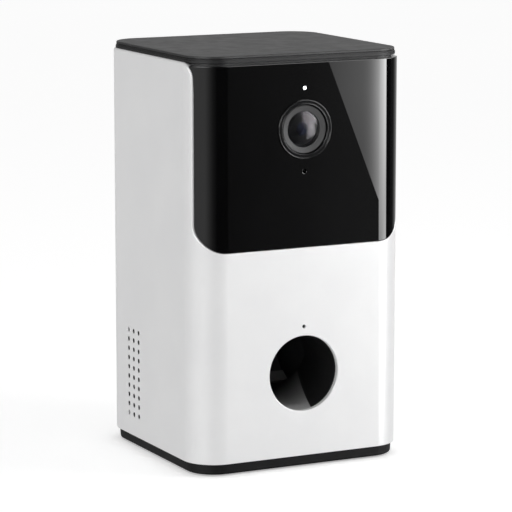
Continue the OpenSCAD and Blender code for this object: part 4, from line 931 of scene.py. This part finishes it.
def studio_world():
    """White behind the object and as soft fill. Glossy surfaces see a studio instead: bright on the left,
    above and behind, dark in front and on the right, with a bright band high on each side in front. Light
    that leaves glass sees the same studio, brighter, and without the bands."""
    world = bpy.data.worlds.new("studio")
    bpy.context.scene.world = world
    world.use_nodes = True
    tree = world.node_tree
    tree.nodes.clear()
    x, y, z = split_axes(tree, link_nodes(tree, "ShaderNodeTexCoord", {}).outputs["Generated"])
    across = link_nodes(tree, "ShaderNodeValToRGB", {"Fac": ramp(tree, x, -1.0, 1.0)})
    stops = [(0.0, 0.8), (0.1, 0.8), (0.19, 0.43), (0.275, 0.16), (0.39, 0.015), (0.712, 0.015),
             (0.72, 0.075), (0.73, 0.12), (0.74, 0.21), (0.76, 0.1), (0.8, 0.02), (0.985, 0.02), (1.0, 0.1)]
    elements = across.color_ramp.elements
    while len(elements) < len(stops):
        elements.new(0.5)
    for element, (at, level) in zip(elements, stops):
        element.position = at
        element.color = (level, level, level, 1)
    back_level = ramp(tree, x, -0.6, 0.6, 0.3, 0.6)
    studio = blend_colours(tree, ramp(tree, y, 0.1, 0.5), across.outputs[0], back_level)
    studio = blend_colours(tree, ramp(tree, z, 0.3, 0.8), studio, (0.35, 0.35, 0.35))

    def background(label, colour, strength):
        inputs = {"Color": colour, "Strength": strength}
        return link_nodes(tree, "ShaderNodeBackground", inputs, label=label).outputs[0]

    def chosen(amount, first, second):
        return link_nodes(tree, "ShaderNodeMixShader", {0: amount, 1: first, 2: second}).outputs[0]

    white = (1, 1, 1, 1)
    high = reckon(tree, "MULTIPLY", ramp(tree, z, 0.02, 0.12), ramp(tree, y, 0.2, -0.2))
    high = reckon(tree, "MULTIPLY", high, ramp(tree, z, 0.75, 0.55))
    mirrored = background("mirrored", studio, 1.0)
    for label, start, end in (("high_left", -0.45, -0.75), ("high_right", 0.3, 0.5)):
        band = background(label, reckon(tree, "MULTIPLY", high, ramp(tree, x, start, end)), 10.0)
        mirrored = link_nodes(tree, "ShaderNodeAddShader", {0: mirrored, 1: band}).outputs[0]
    rays = link_nodes(tree, "ShaderNodeLightPath", {}).outputs
    all_rays = chosen(rays["Is Glossy Ray"], background("fill", white, 0.657), mirrored)
    all_rays = chosen(rays["Is Transmission Ray"], all_rays, background("within_glass", studio, 2.2))
    all_rays = chosen(rays["Is Camera Ray"], all_rays, background("seen", white, 1.1))
    link_nodes(tree, "ShaderNodeOutputWorld", {"Surface": all_rays})


def soft_light(name, azimuth, elevation, distance, size, radiance):
    """A square soft light aimed at the object's middle, which shows in no reflection. Azimuth is measured
    from straight in front towards +X, in degrees. Its power is its radiance times pi times its area."""
    light = bpy.data.objects.new(name, bpy.data.lights.new(name, "AREA"))
    bpy.context.scene.collection.objects.link(light)
    light.data.shape = "RECTANGLE"
    light.data.size = light.data.size_y = size
    light.data.energy = radiance * math.pi * size * size
    a, e = math.radians(azimuth), math.radians(elevation)
    way = Vector((math.sin(a) * math.cos(e), -math.cos(a) * math.cos(e), math.sin(e)))
    middle = Vector((0, 0, 0.12))
    place = middle + way * distance
    light.matrix_world = Matrix.Translation(place) @ way.to_track_quat("Z", "Y").to_matrix().to_4x4()
    light.visible_camera = light.visible_glossy = False


def strip_card():
    """A tall graded card in front and to the right, which only shows as a reflection: its light grows from
    the left edge, with the cube of the way across near the middle, and fades towards the floor. Its left edge
    leans. Its corners are X and Z, in metres."""
    corners, card_y = [(0.250, 0.300), (0.453, -0.200), (1.150, -0.200), (0.760, 0.300)], -0.6
    mesh = bpy.data.meshes.new("strip_card")
    mesh.from_pydata([(x, card_y, z) for x, z in corners], [], [(0, 1, 2, 3)])
    card = bpy.data.objects.new("strip_card", mesh)
    bpy.context.scene.collection.objects.link(card)
    material, tree = empty_material("strip_card")
    x, _, z = split_axes(tree, own_place(tree))
    steep = reckon(tree, "POWER", ramp(tree, x, 0.330, 0.350), 3.0)
    level = reckon(tree, "ADD", ramp(tree, x, 0.305, 0.336, 1.3, 2.1), reckon(tree, "MULTIPLY", steep, 7.3))
    level = reckon(tree, "ADD", level, ramp(tree, x, 0.350, 0.700, 0, 6))
    level = reckon(tree, "MULTIPLY", level, ramp(tree, z, 0.011, 0.145, 0.52, 1.0))
    glow = link_nodes(tree, "ShaderNodeEmission", {"Strength": level})
    link_nodes(tree, "ShaderNodeOutputMaterial", {"Surface": glow.outputs[0]})
    mesh.materials.append(material)
    card.visible_camera = card.visible_diffuse = card.visible_shadow = False
    card.visible_transmission = False


plain_floor()
studio_world()
strip_card()
soft_light("key_light", 52, 38, 0.9, 0.25, 6.4)
soft_light("near_light", 75, 5, 0.6, 0.4, 0.5)
soft_light("front_light", 12, 8, 1.8, 0.7, 0.3)

bpy.context.scene.view_settings.view_transform = "Standard"
